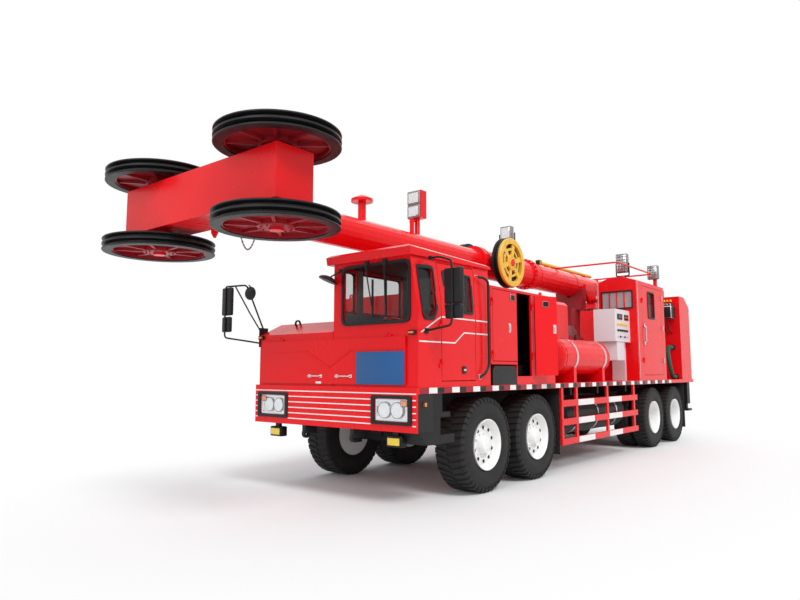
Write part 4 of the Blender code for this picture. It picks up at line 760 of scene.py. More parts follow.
class RIG_OT_sheaves(bpy.types.Operator):
    """Builds the crown's four grooved sheaves and the yellow guide sheaves"""

    bl_idname = "rig.sheaves"
    bl_label = "Sheaves"

    def rim(self, shape, centre, axis, radius, thick, inner, grooves):
        """A grooved rim as one closed ring."""
        profile = [(0.0, inner), (0.0, radius - 0.008), (0.008, radius)]
        pitch = (thick - 0.016) / grooves
        for i in range(grooves):
            start = 0.008 + pitch * i
            profile += [(start + pitch * 0.14, radius), (start + pitch * 0.42, radius - 0.05),
                        (start + pitch * 0.58, radius - 0.05), (start + pitch * 0.86, radius)]
        profile += [(thick - 0.008, radius), (thick, radius - 0.008), (thick, inner)]
        shape.turned(centre, axis, profile, 96, closed=True)

    def web(self, shape, centre, axis, outer, hub, thick, spokes, plate):
        """A recessed plate with radial ribs on both faces and a bolted hub."""
        axis = Vector(axis)
        across = axis.orthogonal().normalized()
        third = axis.cross(across)
        centre = Vector(centre)
        middle = thick / 2
        half = plate / 2
        bore = 0.075
        shape.turned(centre, axis, [(middle - half, bore), (middle - half, outer), (middle + half, outer),
                                    (middle + half, bore)], 64, closed=True)
        shape.turned(centre, axis, [(0.004, bore), (0.004, hub - 0.01), (0.014, hub), (thick - 0.014, hub),
                                    (thick - 0.004, hub - 0.01), (thick - 0.004, bore)], 40, closed=True)
        shape.turned(centre, axis, [(0.012, outer - 0.022), (0.012, outer + 0.002), (thick - 0.012, outer + 0.002),
                                    (thick - 0.012, outer - 0.022)], 64, closed=True)
        for i in range(spokes):
            turn = 2 * math.pi * i / spokes
            out = across * math.cos(turn) + third * math.sin(turn)
            side = axis.cross(out) * 0.016
            rings = []
            for reach, tall in ((hub - 0.01, 0.8), (outer - 0.01, 0.62)):
                rings.append([centre + out * reach + side * a + axis * (middle + tall * b * (middle - 0.006))
                              for a, b in ((-1, -1), (1, -1), (1, 1), (-1, 1))])
            shape.rings(rings)
        for face, way in ((0.004, -1), (thick - 0.004, 1)):
            shape.bolts(centre + axis * face, axis * way, hub - 0.035, 12, 0.010, 0.010 if way < 0 else 0.010)

    def execute(self, context):
        # Painted shade: the webs take the darker red, which stands for the shade on their undersides.
        black, red, gold = black_plastic(), dark_red_and_shade_enamel(), yellow()
        for side in ("left", "right"):
            for level in ("upper", "lower"):
                node = f"crown_sheave_{level}_{side}"
                bottom, top = low(node), high(node)
                thick = top.z - bottom.z
                centre = ((bottom.x + top.x) / 2, (bottom.y + top.y) / 2, bottom.z)
                shape = Shape(black, red)
                self.rim(shape, centre, (0, 0, 1), 0.620, thick, 0.515, 2)
                shape.use(1)
                self.web(shape, centre, (0, 0, 1), 0.520, 0.185, thick, 8, 0.022)
                shape.done(f"sheave_{level}_{side}", node, "chassis_black", (node,))
        for side, hand in (("left", 1), ("right", -1)):
            node = f"guide_sheave_{side}"
            bottom, top = low(node), high(node)
            start = bottom.x if hand > 0 else top.x
            centre = (start, (bottom.y + top.y) / 2, (bottom.z + top.z) / 2)
            shape = Shape(black, gold)
            self.rim(shape, centre, (hand, 0, 0), 0.424, 0.115, 0.34, 1)
            shape.use(1)
            out, face = Vector((hand, 0, 0)), Vector(centre) + Vector((hand * 0.10, 0, 0))
            for inner, outer, start, end in ((0.318, 0.412, 0.0, 0.058), (0.205, 0.245, 0.008, 0.040),
                                             (0.062, 0.135, -0.10, 0.050), (0.0, 0.070, 0.02, 0.060)):
                shape.turned(face, out, [(start, inner), (start, outer), (end - 0.008, outer), (end, outer - 0.008),
                                         (end, inner)], 64, closed=True)
            for i in range(6):
                turn = math.pi * i / 3 + 0.3
                along = Vector((0, math.cos(turn), math.sin(turn)))
                across = Vector((0, -math.sin(turn), math.cos(turn)))
                shape.rings([[face + along * reach + across * wide * a + out * b
                              for a, b in ((-1, 0.010), (1, 0.010), (1, 0.042), (-1, 0.042))]
                             for reach, wide in ((0.12, 0.034), (0.33, 0.046))])
            shape.bolts(face + out * 0.050, out, 0.100, 8, 0.013, 0.010)
            shape.bolts(face + out * 0.058, out, 0.365, 12, 0.011, 0.008)
            # Painted shade: this black disc behind the spokes stands in for the shade seen through the open gaps
            # between them.
            shape.use(0).turned(centre, (hand, 0, 0), [(0.02, 0.062), (0.02, 0.345), (0.098, 0.345), (0.098, 0.062)], 48,
                                closed=True)
            shape.done(f"guide_{side}", node, "sheave_yellow", (node,))
        return {"FINISHED"}


class RIG_OT_bumper(bpy.types.Operator):
    """Lines, lamp surrounds, headlamps and fog lamps on the bumper"""

    bl_idname = "rig.bumper"
    bl_label = "Bumper"

    def execute(self, context):
        sizes = context.scene.rig_sizes
        lines = Shape(white_line())
        for i in range(sizes.stripes):
            z = 1.270 - 0.0705 * i
            reach = 1.395 if i == 0 else 0.722
            lines.box((-reach, reach), (-0.0022, 0.001), (z, z + sizes.stripe_height))
            for hand in (1, -1):
                if i:
                    lines.box(sorted((hand * 1.345, hand * 1.393)), (-0.0022, 0.001), (z, z + sizes.stripe_height))
        lines.done("bumper_lines", "carrier", "rig_red")

        lamps = Shape(black_plastic(), chrome(), clear_glass(), amber(), fog_yellow())
        outer = rounded_outline(rectangle((0.735, 1.335), (0.925, 1.256)), 0.03)
        inner = rounded_outline(rectangle((0.785, 1.285), (0.962, 1.219)), 0.02)
        lamps.band(outer, inner, lambda a, b, d: (a, 0.012 - d, b), 0.028)
        frame_line = rounded_outline(rectangle((0.792, 1.278), (0.967, 1.213)), 0.03)
        lamps.use(1).box((0.7905, 1.2795), (0.022, 0.0295), (0.9655, 1.2145))
        lamps.band(frame_line, rounded_outline(rectangle((0.815, 1.255), (0.990, 1.190)), 0.03),
                   lambda a, b, d: (a, 0.026 - d, b), 0.024)
        for centre, size in ((0.925, 0.086), (1.115, 0.086)):
            lamps.turned((centre, 0, 1.088), (0, 1, 0), [
                (0.003, size + 0.008), (0.003, size), (0.013, size * 0.78), (0.019, size * 0.42),
                (0.021, 0.020), (0.008, 0.016), (0.006, 0.0), (0.0245, 0.0), (0.0245, size + 0.008)], 40)
            lamps.use(0).disc((centre, 0.010, 1.088), (0, -1, 0), 0.014, 0.004, 16)
            lamps.use(1)
        for i in range(9):
            x = 0.83 + i * 0.043
            lamps.box((x, x + 0.006), (0.016, 0.0225), (0.99, 1.005))
        lamps.use(3).box((1.168, 1.272), (-0.002, 0.020), (1.128, 1.207), 0.010)
        lamps.use(2).box((0.794, 1.276), (-0.0045, 0.0005), (0.969, 1.211), 0.002)
        lamps.use(0)
        lamps.box((1.4002, 1.4028), (0.030, 0.300), (0.850, 1.272))
        lamps.use(3).box((1.4028, 1.425), (0.120, 0.165), (1.130, 1.185), 0.006)
        lamps.use(0)
        lamps.box((0.915, 1.145), (0.055, 0.160), (0.668, 0.797), 0.014)
        lamps.box((0.99, 1.07), (0.085, 0.130), (0.79, 0.862), 0.004)
        lamps.use(4).box((0.932, 1.128), (0.045, 0.075), (0.682, 0.783), 0.010)
        lamps.mirror_too().done("bumper_lamps", "carrier", "chassis_black")

        hooks = Shape(black_paint())
        for x in (0.42, -0.42):
            hooks.box((x - 0.03, x + 0.03), (-0.0, 0.20), (0.74, 0.852), 0.006)
            hooks.turned((x - 0.02, 0.045, 0.745), (1, 0, 0), [(0, 0.026), (0, 0.06), (0.04, 0.06), (0.04, 0.026)], 24,
                         closed=True)
        hooks.done("tow_hooks", "carrier", "chassis_black")
        return {"FINISHED"}


class RIG_OT_nose(bpy.types.Operator):
    """The blank plate, pressed lines, handles and corner lamps of the nose"""

    bl_idname = "rig.nose"
    bl_label = "Nose"

    def execute(self, context):
        face = 0.022
        plate = Shape(plate_blue())
        plate.box((0.472, 1.215), (face - 0.012, face - 0.0002), (1.375, 1.759), 0.003)
        plate.done("front_plate", "front_panel", "rig_red")

        pressed = Shape(enamel())
        crease = [(-1.2, 1.79), (-0.423, 1.79), (0.003, 1.581), (0.378, 1.79), (1.2, 1.79)]
        for (x0, z0), (x1, z1) in zip(crease, crease[1:]):
            along = Vector((x1 - x0, z1 - z0)).normalized()
            side = Vector((-along.y, along.x)) * 0.010
            ends = [Vector((x0, z0)) + side, Vector((x1, z1)) + side, Vector((x1, z1)) - side, Vector((x0, z0)) - side]
            pressed.prism("Y", [tuple(p) for p in ends], face - 0.007, face)
        pressed.done("nose_crease", "front_panel", "rig_red")

        grips = Shape(steel(), black_plastic(), white_line())
        for x0, x1 in ((-0.348, -0.14), (0.14, 0.376)):
            z = 1.47
            grips.use(0).pipe([(x0, face, z), (x0, face - 0.045, z), (x1, face - 0.045, z), (x1, face, z)], 0.009, 10, 0.02)
            grips.box((x0 - 0.022, x0 + 0.022), (face - 0.005, face), (z - 0.02, z + 0.02), 0.002)
            grips.box((x1 - 0.022, x1 + 0.022), (face - 0.005, face), (z - 0.02, z + 0.02), 0.002)
        grips.use(2).box((-0.232, -0.136), (face - 0.004, face), (1.376, 1.402))
        grips.done("nose_grips", "front_panel", "bright_steel")

        corner = Shape(black_plastic(), amber(), clear_glass())
        for x, z in ((1.315, 1.962), (-1.345, 1.986)):
            corner.use(0).box((x - 0.05, x + 0.05), (0.012, 0.055), (z - 0.022, z + 0.03), 0.008)
            corner.use(1).box((x - 0.04, x + 0.04), (0.004, 0.018), (z - 0.012, z + 0.02), 0.005)
        corner.use(0)
        corner.turned((0.05, -0.06, 2.66), Vector((0.30, 0.30, 1)), [
            (-0.012, 0), (-0.012, 0.118), (0.004, 0.124), (0.030, 0.100), (0.048, 0.050), (0.052, 0)], 32)
        corner.bar((0.07, -0.04, 2.70), (0.16, 0.052, 2.78), 0.010)
        corner.box((0.13, 0.19), (0.040, 0.052), (2.755, 2.805), 0.004)
        corner.turned((-0.956, 0.35, 2.185), (1, 0, 0), [(-0.01, 0.032), (-0.01, 0.052), (0.01, 0.052), (0.01, 0.032)], 28,
                      closed=True)
        corner.done("corner_lamps", "carrier", "chassis_black")
        return {"FINISHED"}


class RIG_OT_cab(bpy.types.Operator):
    """Window gaskets, glass, wipers, the grab bar, side lines, the latch and the seat"""

    bl_idname = "rig.cab"
    bl_label = "Cab"

    def side_line(self, shape, points, start, end, tall=0.008):
        """The stretch of a painted side line between two stations, laid on the leaning cab side."""
        def at(s):
            for (a, za), (b, zb) in zip(points, points[1:]):
                if a <= s <= b:
                    return za + (zb - za) * (s - a) / (b - a)
        stops = sorted({start, end, *[s for s, _ in points if start < s < end]})
        for a, b in zip(stops, stops[1:]):
            rings = []
            for s in (a, b):
                z = at(s)
                rings.append([(cab_side(s, z + up) + out, s, z + up) for out, up in (
                    (-0.001, -tall), (0.0022, -tall), (0.0022, tall), (-0.001, tall))])
            shape.rings(rings)

    def execute(self, context):
        rubber, glass = black_plastic(), dark_glass()
        front = rounded_outline(rectangle((0.21, 1.27), (2.10, 2.80)), 0.05, 5)
        gasket = Shape(rubber)
        gasket.band(rounded_outline(rectangle((0.190, 1.286), (2.080, 2.824)), 0.10, 5),
                    rounded_outline(rectangle((0.224, 1.254), (2.114, 2.788)), 0.09, 5),
                    lambda a, b, d: (a, 0.052 - d, b), 0.016)
        quarter = [(0.14, 2.20), (0.13, 2.74), (0.42, 2.75), (0.42, 2.27), (0.34, 2.14), (0.18, 2.14)]
        gasket.band(rounded_outline(grown(quarter, 0.020), 0.05), rounded_outline(grown(quarter, -0.012), 0.05),
                    lambda a, b, d: (cab_side(a, b) - 0.006 + d, a, b), 0.018)
        for s0, s1 in ((0.16, 0.42), (0.54, 1.36)):
            gasket.band(rounded_outline(rectangle((s0 - 0.02, s1 + 0.02), (2.26, 2.82)), 0.05),
                        rounded_outline(rectangle((s0 + 0.015, s1 - 0.015), (2.295, 2.785)), 0.05),
                        lambda a, b, d: (0.052 - d, a, b), 0.016)
        gasket.done("cab_gaskets", "carrier", "chassis_black")

        panes = Shape(glass)
        rings = [[(cab_side(a, b) - inset, a, b) for a, b in rounded_outline(quarter, 0.02)] for inset in (0.030, 0.022)]
        panes.rings(rings)
        for s0, s1 in ((0.16, 0.42), (0.54, 1.36)):
            panes.box((0.070, 0.078), (s0 + 0.0005, s1 - 0.0005), (2.2805, 2.7995))
        panes.done("cab_panes", "carrier", "cab_glass")

        wipers = Shape(rubber)
        for x, tip in ((0.61, 0.72), (0.90, 0.93)):
            wipers.box((x - 0.035, x + 0.035), (0.018, 0.050), (2.800, 2.850), 0.008)
            wipers.pipe([(x, 0.022, 2.82), (x + 0.02, 0.008, 2.72), (tip, 0.012, 2.30)], 0.008, 8, 0.06)
            wipers.box((tip - 0.012, tip + 0.012), (0.018, 0.036), (2.16, 2.62), 0.004)
        wipers.done("wipers", "carrier", "chassis_black")

        door = [(0.60, 2.25), (0.60, 2.73), (1.17, 2.71), (1.17, 2.25)]
        leaf = Shape(rubber, steel(), white_line(), enamel())
        leaf.band(rounded_outline(grown(door, 0.022), 0.06), rounded_outline(grown(door, -0.012), 0.05),
                  lambda a, b, d: (cab_side(a, b) - 0.004 + d, a, b), 0.018)
        leaf.box((1.384, 1.395), (0.925, 1.015), (1.500, 1.590), 0.006)
        leaf.use(1).box((1.394, 1.402), (0.94, 1.00), (1.53, 1.56), 0.003)
        upper = [(0.107, 1.97), (0.495, 2.168), (1.616, 2.166)]
        lower = [(0.07, 1.867), (0.781, 1.869), (0.978, 1.999), (1.58, 2.001)]
        leaf.use(2)
        for line in (upper, lower):
            self.side_line(leaf, line, 0.513, 1.226)
        leaf.done("cab_door_fittings", "cab_door", "chassis_black")
        fixed = Shape(white_line(), rubber)
        for line in (upper, lower):
            self.side_line(fixed, line, line[0][0], 0.487)
            self.side_line(fixed, line, 1.254, 1.575)
        fixed.use(1).pipe([(1.392, 1.306, 2.73), (1.435, 1.36, 2.725), (1.44, 1.467, 2.69), (1.44, 1.461, 1.59),
                           (1.435, 1.38, 1.50), (1.388, 1.323, 1.458)], 0.016, 12, 0.05)
        for s, z in ((1.306, 2.73), (1.323, 1.458)):
            x = cab_side(s, z)
            fixed.box((x - 0.004, x + 0.012), (s - 0.03, s + 0.03), (z - 0.03, z + 0.03), 0.004)
        fixed.done("cab_side_fittings", "carrier", "chassis_black")

        lining = Shape(black_paint(), cabin_grey())
        lining.use(1).box((0.102, 1.300), (1.522, 1.5345), (1.40, 2.855))
        lining.box((0.1005, 0.106), (0.12, 1.52), (1.40, 2.262))
        lining.box((0.1005, 0.106), (0.440, 0.520), (2.262, 2.85))
        lining.box((0.1005, 0.106), (1.380, 1.52), (2.262, 2.85))
        lining.box((0.1005, 0.106), (0.106, 0.142), (2.262, 2.85))
        lining.use(0).box((0.102, 1.30), (0.115, 1.52), (1.3995, 1.404))
        lining.box((0.110, 1.255), (0.125, 1.52), (2.835, 2.855))
        lining.box((0.115, 1.26), (0.108, 0.40), (1.95, 2.085), 0.03)
        lining.done("cab_lining", "carrier", "seat_cloth")

        seat = Shape(seat_fabric(), cabin_grey())
        seat.box((0.49, 0.95), (0.80, 1.27), (1.80, 1.94), 0.05, 4)
        seat.box((0.50, 0.94), (1.25, 1.40), (1.90, 2.36), 0.055, 4)
        seat.use(1).box((0.60, 0.84), (1.29, 1.40), (2.38, 2.60), 0.045, 4)
        cushions = seat.done("seat_cushions", "carrier", "seat_cloth", ("driver_seat",))
        base = Shape(black_plastic())
        base.box((0.56, 0.88), (0.86, 1.24), (1.40, 1.80), 0.02)
        base.pipe([(0.66, 1.34, 2.30), (0.66, 1.34, 2.44)], 0.008)
        base.pipe([(0.78, 1.34, 2.30), (0.78, 1.34, 2.44)], 0.008)
        base.turned((0.72, 0.46, 2.02), Vector((0, -0.55, 0.85)), [(-0.013, 0.205), (-0.013, 0.232), (0.013, 0.232),
                                                                  (0.013, 0.205)], 40, closed=True)
        base.bar((0.72, 0.46, 2.02), (0.72, 0.30, 1.78), 0.025)
        base.box((0.52, 0.92), (0.455, 0.475), (2.00, 2.04), 0.006)
        base.done("seat_base", "carrier", "seat_cloth")
        return {"FINISHED"}


class RIG_OT_mirrors(bpy.types.Operator):
    """The outside mirrors on their tube arms"""

    bl_idname = "rig.mirrors"
    bl_label = "Mirrors"

    def head(self, shape, x, s, z, glass_out=0.002):
        shape.use(0).box(x, s, z, 0.022, 3)
        shape.use(1).box((x[0] + 0.018, x[1] - 0.018), (s[1] - 0.004, s[1] + glass_out), (z[0] + 0.018, z[1] - 0.018), 0.001)

    def execute(self, context):
        left = Shape(black_plastic(), chrome())
        self.head(left, (1.582, 1.830), (0.272, 0.338), (2.292, 2.700))
        self.head(left, (1.590, 1.822), (0.276, 0.336), (2.120, 2.280))
        left.use(0)
        left.pipe([(1.388, 0.205, 1.990), (1.52, 0.215, 2.010), (1.705, 0.235, 2.040), (1.705, 0.262, 2.12),
                   (1.705, 0.262, 2.70), (1.700, 0.262, 2.78), (1.50, 0.300, 2.850), (1.375, 0.31, 2.846)],
                  0.013, 10, 0.06)
        left.box((1.384, 1.400), (0.17, 0.24), (1.955, 2.02), 0.004)
        left.box((1.362, 1.40), (0.28, 0.34), (2.825, 2.868), 0.004)
        left.box((1.69, 1.72), (0.255, 0.285), (2.34, 2.42), 0.004)
        left.done("mirror_left_arms", "carrier", "chassis_black", ("mirror_left",))

        right = Shape(black_plastic(), chrome())
        self.head(right, (-1.830, -1.622), (-0.298, -0.236), (2.300, 2.690))
        self.head(right, (-1.822, -1.640), (-0.294, -0.238), (2.068, 2.282))
        right.use(0)
        right.pipe([(-1.386, 0.06, 1.915), (-1.48, -0.02, 1.935), (-1.725, -0.30, 1.990), (-1.725, -0.308, 2.07),
                    (-1.725, -0.308, 2.66), (-1.715, -0.308, 2.70), (-1.45, -0.16, 2.716), (-1.386, 0.10, 2.10)], 0.012,
                   10, 0.05)
        right.pipe([(-1.386, 0.14, 1.965), (-1.50, -0.06, 2.34), (-1.62, -0.22, 2.700)], 0.010, 8, 0.04)
        right.box((-1.400, -1.384), (0.03, 0.18), (1.862, 2.13), 0.004)
        right.turned((-1.40, -0.135, 2.600), Vector((-0.2, 1, 0)), [
            (-0.035, 0), (-0.032, 0.05), (-0.012, 0.088), (0.004, 0.094), (0.010, 0.088), (0.010, 0)], 32)
        right.bar((-1.40, -0.135, 2.69), (-1.42, -0.15, 2.716), 0.009)
        right.done("mirror_right_arms", "carrier", "chassis_black", ("mirror_right",))
        return {"FINISHED"}


class RIG_OT_cabinets(bpy.types.Operator):
    """Handles, vents and lifting eyes of the equipment cabinet, and the marker strip of the deck"""

    bl_idname = "rig.cabinets"
    bl_label = "Cabinets and deck strip"

    def vent(self, shape, s, z, out, way=1, size=0.055):
        shape.use(1).box(sorted((out, out + way * 0.012)), (s - size, s + size), (z - size * 0.75, z + size * 0.75), 0.004)
        for i in range(4):
            level = z - size * 0.5 + i * size * 0.33
            shape.box(sorted((out + way * 0.010, out + way * 0.017)), (s - size * 0.8, s + size * 0.8),
                      (level - 0.004, level + 0.004))

    def handle(self, shape, s, z, out, way=1):
        shape.use(0).box(sorted((out, out + way * 0.006)), (s - 0.028, s + 0.028), (z - 0.065, z + 0.065), 0.003)
        shape.box(sorted((out + way * 0.005, out + way * 0.018)), (s - 0.016, s + 0.016), (z - 0.045, z + 0.050), 0.005)

    def execute(self, context):
        sizes = context.scene.rig_sizes
        leaf = Shape(steel(), black_plastic())
        self.handle(leaf, 2.10, 2.118, 1.3852)
        self.vent(leaf, 2.18, 2.54, 1.3852)
        leaf.done("front_leaf_fittings", "cabinet_door_front", "bright_steel")
        rear = Shape(steel(), black_plastic())
        pin = 2.73
        self.handle(rear, pin - 0.37, 2.14, 1.3852)
        self.handle(rear, pin - 0.37, 2.14, 1.3598, -1)
        self.vent(rear, pin - 0.21, 2.50, 1.3852)
        self.vent(rear, pin - 0.21, 2.50, 1.3598, -1)
        rear.spin((1.399, 2.73, 2.0), (0, 0, 1), 155)
        rear.done("rear_leaf_fittings", "cabinet_door_rear", "bright_steel")

        top = Shape(enamel(), black_plastic())
        for s in (1.70, 3.34):
            for x in (1.22, -1.22):
                top.box((x - 0.012, x + 0.012), (s - 0.05, s + 0.05), (2.66, 2.675))
                top.turned((x - 0.009, s, 2.70), (1, 0, 0), [(0, 0.018), (0, 0.042), (0.018, 0.042), (0.018, 0.018)], 24,
                           closed=True)
        top.done("cabinet_eyes", "carrier", "rig_red")

        # Painted shade: the five thin black sheets line the cabinet's inside and stand in for the shade in it; the two
        # boxes, the pipe and the yellow cap are fittings inside.
        lining = Shape(black_paint(), steel(), yellow())
        lining.box((0.30, 0.304), (1.637, 3.414), (1.3795, 2.628))
        lining.box((0.305, 1.350), (1.637, 3.414), (1.3795, 1.384))
        lining.box((0.305, 1.350), (1.637, 3.414), (2.624, 2.628))
        lining.box((0.305, 1.350), (1.637, 1.641), (1.385, 2.623))
        lining.box((0.305, 1.350), (3.410, 3.414), (1.385, 2.623))
        lining.box((0.70, 1.20), (2.40, 3.20), (1.385, 1.62), 0.02)
        lining.box((0.40, 0.62), (2.36, 3.30), (1.70, 2.20), 0.02)
        lining.use(1).pipe([(0.66, 2.36, 1.90), (0.85, 2.36, 1.90), (0.85, 3.20, 1.90)], 0.022, 12, 0.08)
        lining.use(2).disc((0.85, 2.75, 1.91), (0, 0, 1), 0.05, 0.03, 20, 0.01)
        lining.done("cabinet_shade_sheets_and_fittings", "carrier", "chassis_black")

        strip = Shape(dark_red_and_shade_enamel(), white_line(), black_plastic())
        step, s = sizes.marker, 0.07
        fields = ((0, step), (1, step), (2, step * 0.85))
        n = 0
        while s < 9.0:
            finish, reach = fields[n % 3]
            strip.use(finish).box((1.4001, 1.4030), (s, min(9.05, s + reach)), (1.279, 1.343))
            s += reach
            n += 1
        strip.mirror_too().done("deck_markers", "carrier", "rig_red")
        return {"FINISHED"}


class RIG_OT_plant(bpy.types.Operator):
    """Straps and valves of the air receiver, the switch cabinet's controls and the rope drum"""

    bl_idname = "rig.plant"
    bl_label = "Deck plant"

    def execute(self, context):
        straps = Shape(steel(), black_plastic(), enamel())
        centre, radius = (1.10, 0, 1.77), 0.295
        for s in (4.27, 5.44):
            straps.use(0).turned((centre[0], s - 0.03, centre[2]), (0, 1, 0), [
                (0, radius - 0.002), (0, radius + 0.004), (0.06, radius + 0.004), (0.06, radius - 0.002)], 56, closed=True)
            straps.box((0.80, 0.835), (s - 0.02, s + 0.02), (1.74, 1.80), 0.004)
        for s in (3.90, 5.60):
            straps.use(2).turned((centre[0], s - 0.01, centre[2]), (0, 1, 0), [
                (0, radius - 0.002), (0, radius + 0.003), (0.02, radius + 0.003), (0.02, radius - 0.002)], 56, closed=True)
        straps.use(1).turned((1.10, 4.85, 2.058), (0, 0, 1), [(0, 0), (0, 0.03), (0.03, 0.03), (0.03, 0.02),
                                                               (0.09, 0.02), (0.09, 0.0)], 16)
        straps.done("receiver_straps", "carrier", "bright_steel")

        panel = Shape(black_plastic(), yellow(), steel(), clear_glass(), amber())
        face = 1.2202
        panel.box((face, face + 0.014), (6.50, 6.74), (2.52, 2.63), 0.006)
        panel.use(3).box((face + 0.012, face + 0.017), (6.53, 6.71), (2.545, 2.605), 0.002)
        for row, z in enumerate((2.43, 2.31, 2.19)):
            for i in range(5):
                s = 6.50 + i * 0.115
                if row == 0:
                    panel.use(1).disc((face, s, z), (1, 0, 0), 0.024, 0.030, 20, 0.008)
                elif row == 1:
                    panel.use(0).disc((face, s, z), (1, 0, 0), 0.021, 0.034, 20, 0.006)
                    panel.use(2).disc((face, s, z), (1, 0, 0), 0.028, 0.006, 20)
                else:
                    panel.use(0 if i % 2 else 2).disc((face, s, z), (1, 0, 0), 0.018, 0.026, 20, 0.005)
        panel.use(2)
        for s in (6.40, 7.14):
            for z in (2.14, 2.68):
                panel.disc((face - 0.0002, s, z), (1, 0, 0), 0.008, 0.005, 8)
        panel.use(0).box((face, face + 0.010), (6.86, 7.08), (2.52, 2.63), 0.005)
        panel.use(4)
        for i in range(3):
            panel.disc((face + 0.009, 6.90 + i * 0.07, 2.575), (1, 0, 0), 0.014, 0.012, 16, 0.004)
        panel.done("switch_controls", "carrier", "cabinet_grey")

        drum = Shape(galvanised(), dark_red_and_shade_enamel())
        pitch, turns = context.scene.rig_sizes.rope, 0
        x = -0.385
        while x + pitch <= 0.386:
            turns += 1
            layer = 0.262 + pitch * 1.6
            drum.turned((x, 6.15, 1.98), (1, 0, 0), [
                (0.0, 0.245), (0.0, layer - pitch * 0.5), (pitch * 0.15, layer - pitch * 0.15), (pitch * 0.5, layer),
                (pitch * 0.85, layer - pitch * 0.15), (pitch * 0.999, layer - pitch * 0.5), (pitch * 0.999, 0.245)], 56,
                closed=True)
            x += pitch
        drum.done("drum_rope", "winch_drum", "bright_steel")
        return {"FINISHED"}


class RIG_OT_control_cabin(bpy.types.Operator):
    """Windows, gaskets, hinges and trim of the rear control cabin"""

    bl_idname = "rig.control_cabin"
    bl_label = "Control cabin"

    def execute(self, context):
        trim = Shape(white_line(), black_plastic(), enamel(), steel())
        for s, out in ((7.16, -1), (8.82, 1)):
            z0, z1 = (2.80, 3.12) if out < 0 else (2.30, 3.00)
            trim.use(1).band(rounded_outline(rectangle((0.645, 1.300), (z0 - 0.03, z1 + 0.03)), 0.03),
                             rounded_outline(rectangle((0.672, 1.278), (z0 + 0.001, z1 - 0.001)), 0.02),
                             lambda a, b, d, s=s, out=out: (a, s - out * 0.006 + out * d, b), 0.018)
            trim.use(2)
            for i in (1, 2, 3):
                x = 0.675 + 0.15 * i
                trim.box((x - 0.011, x + 0.011), sorted((s - out * 0.034, s + out * 0.004)), (z0 + 0.001, z1 - 0.001))
            trim.use(1)
        trim.use(2)
        for x in (0.585, 1.388):
            trim.box((x - 0.012, x + 0.012), (7.150, 7.170), (1.36, 3.34), 0.004)
        for z in (1.75, 2.45, 3.10):
            trim.use(3).bar((1.404, 8.645, z - 0.05), (1.404, 8.645, z + 0.05), 0.010)
        trim.done("cabin_trim", "carrier", "rig_red")

        panes = Shape(make_material("pale glass", (0.55, 0.58, 0.60), 0.05, alpha=0.45, vary=0.1, coat=1.0))
        panes.box((0.6805, 1.2695), (7.172, 7.178), (2.8005, 3.1195))
        panes.box((0.6805, 1.2695), (8.800, 8.806), (2.3005, 2.9995))
        panes.done("cabin_panes", "carrier", "cab_glass")

        door = Shape(black_plastic(), dark_glass(), steel())
        door.band(rounded_outline(rectangle((7.765, 8.175), (2.600, 3.170)), 0.06),
                  rounded_outline(rectangle((7.792, 8.148), (2.632, 3.138)), 0.06),
                  lambda a, b, d: (1.379 + d, a, b), 0.018)
        door.use(1).box((1.358, 1.366), (7.7805, 8.1595), (2.6205, 3.1495))
        door.use(2)
        door.pipe([(1.385, 7.50, 2.10), (1.425, 7.50, 2.12), (1.425, 7.50, 2.42), (1.385, 7.50, 2.44)], 0.011, 10, 0.03)
        door.box((1.3852, 1.396), (7.465, 7.535), (2.05, 2.13), 0.004)
        door.box((1.3852, 1.396), (7.465, 7.535), (2.41, 2.49), 0.004)
        door.done("cabin_door_fittings", "control_cabin_door", "cab_glass")
        return {"FINISHED"}


class RIG_OT_mast(bpy.types.Operator):
    """Pipe, collars, bolts and crown fittings of the mast"""

    bl_idname = "rig.mast"
    bl_label = "Mast fittings"

    def execute(self, context):
        z = 3.345
        lower = Shape(yellow(), black_plastic(), enamel(), steel())
        lower.pipe([(0, 5.72, 3.645), (0, 8.18, 3.645)], 0.036, 20)
        lower.use(2)
        for s in (6.05, 7.85):
            lower.box((-0.05, 0.05), (s - 0.03, s + 0.03), (3.575, 3.625), 0.004)
        lower.use(1).box((-0.055, 0.055), (5.675, 5.735), (3.590, 3.70), 0.010)
        lower.use(3).bolts((0, 5.10, z), (0, -1, 0), 0.266, 20, 0.011, 0.014, 0.1)
        lower.bolts((0, 5.17, z), (0, 1, 0), 0.266, 20, 0.011, 0.014, 0.1)
        lower.use(2)
        for s in (3.345, 3.465, 5.40, 7.0, 8.6, 9.6):
            out = 0.274 if s < 3.5 else 0.248
            lower.turned((0, s - 0.012, z), (0, 1, 0), [(0, out - 0.02), (0, out), (0.024, out), (0.024, out - 0.02)], 48,
                         closed=True)
        lower.done("lower_mast_fittings", "mast_lower", "sheave_yellow")

        upper = Shape(enamel(), steel(), galvanised(), black_plastic())
        for s in (-1.20, -0.55):
            upper.turned((0, s, z), (0, 1, 0), [(0, 0.19), (0, 0.226), (0.03, 0.226), (0.03, 0.19)], 48, closed=True)
        upper.use(2)
        links, start, end, dip = 22, Vector((0.26, -1.55, 2.95)), Vector((0.52, -1.55, 2.95)), 0.16
        for i in range(links):
            spots = []
            for t in (i / links, (i + 1) / links):
                spots.append(start.lerp(end, t) - Vector((0, 0, dip * 4 * t * (1 - t))))
            upper.pipe([spots[0], spots[1]], 0.006 if i % 2 else 0.009, 8)
        upper.bar((0.26, -1.55, 2.94), (0.26, -1.60, 3.11), 0.008)
        upper.bar((0.52, -1.55, 2.94), (0.52, -1.60, 3.11), 0.008)
        upper.use(1)
        for x in (1.04, -1.04):
            for face, way in ((3.835, 1), (2.885, -1)):
                upper.bolts((x, -1.72, face), (0, 0, way), 0.045, 6, 0.010, 0.008)
        upper.done("upper_mast_fittings", "mast_upper", "rig_red")
        return {"FINISHED"}


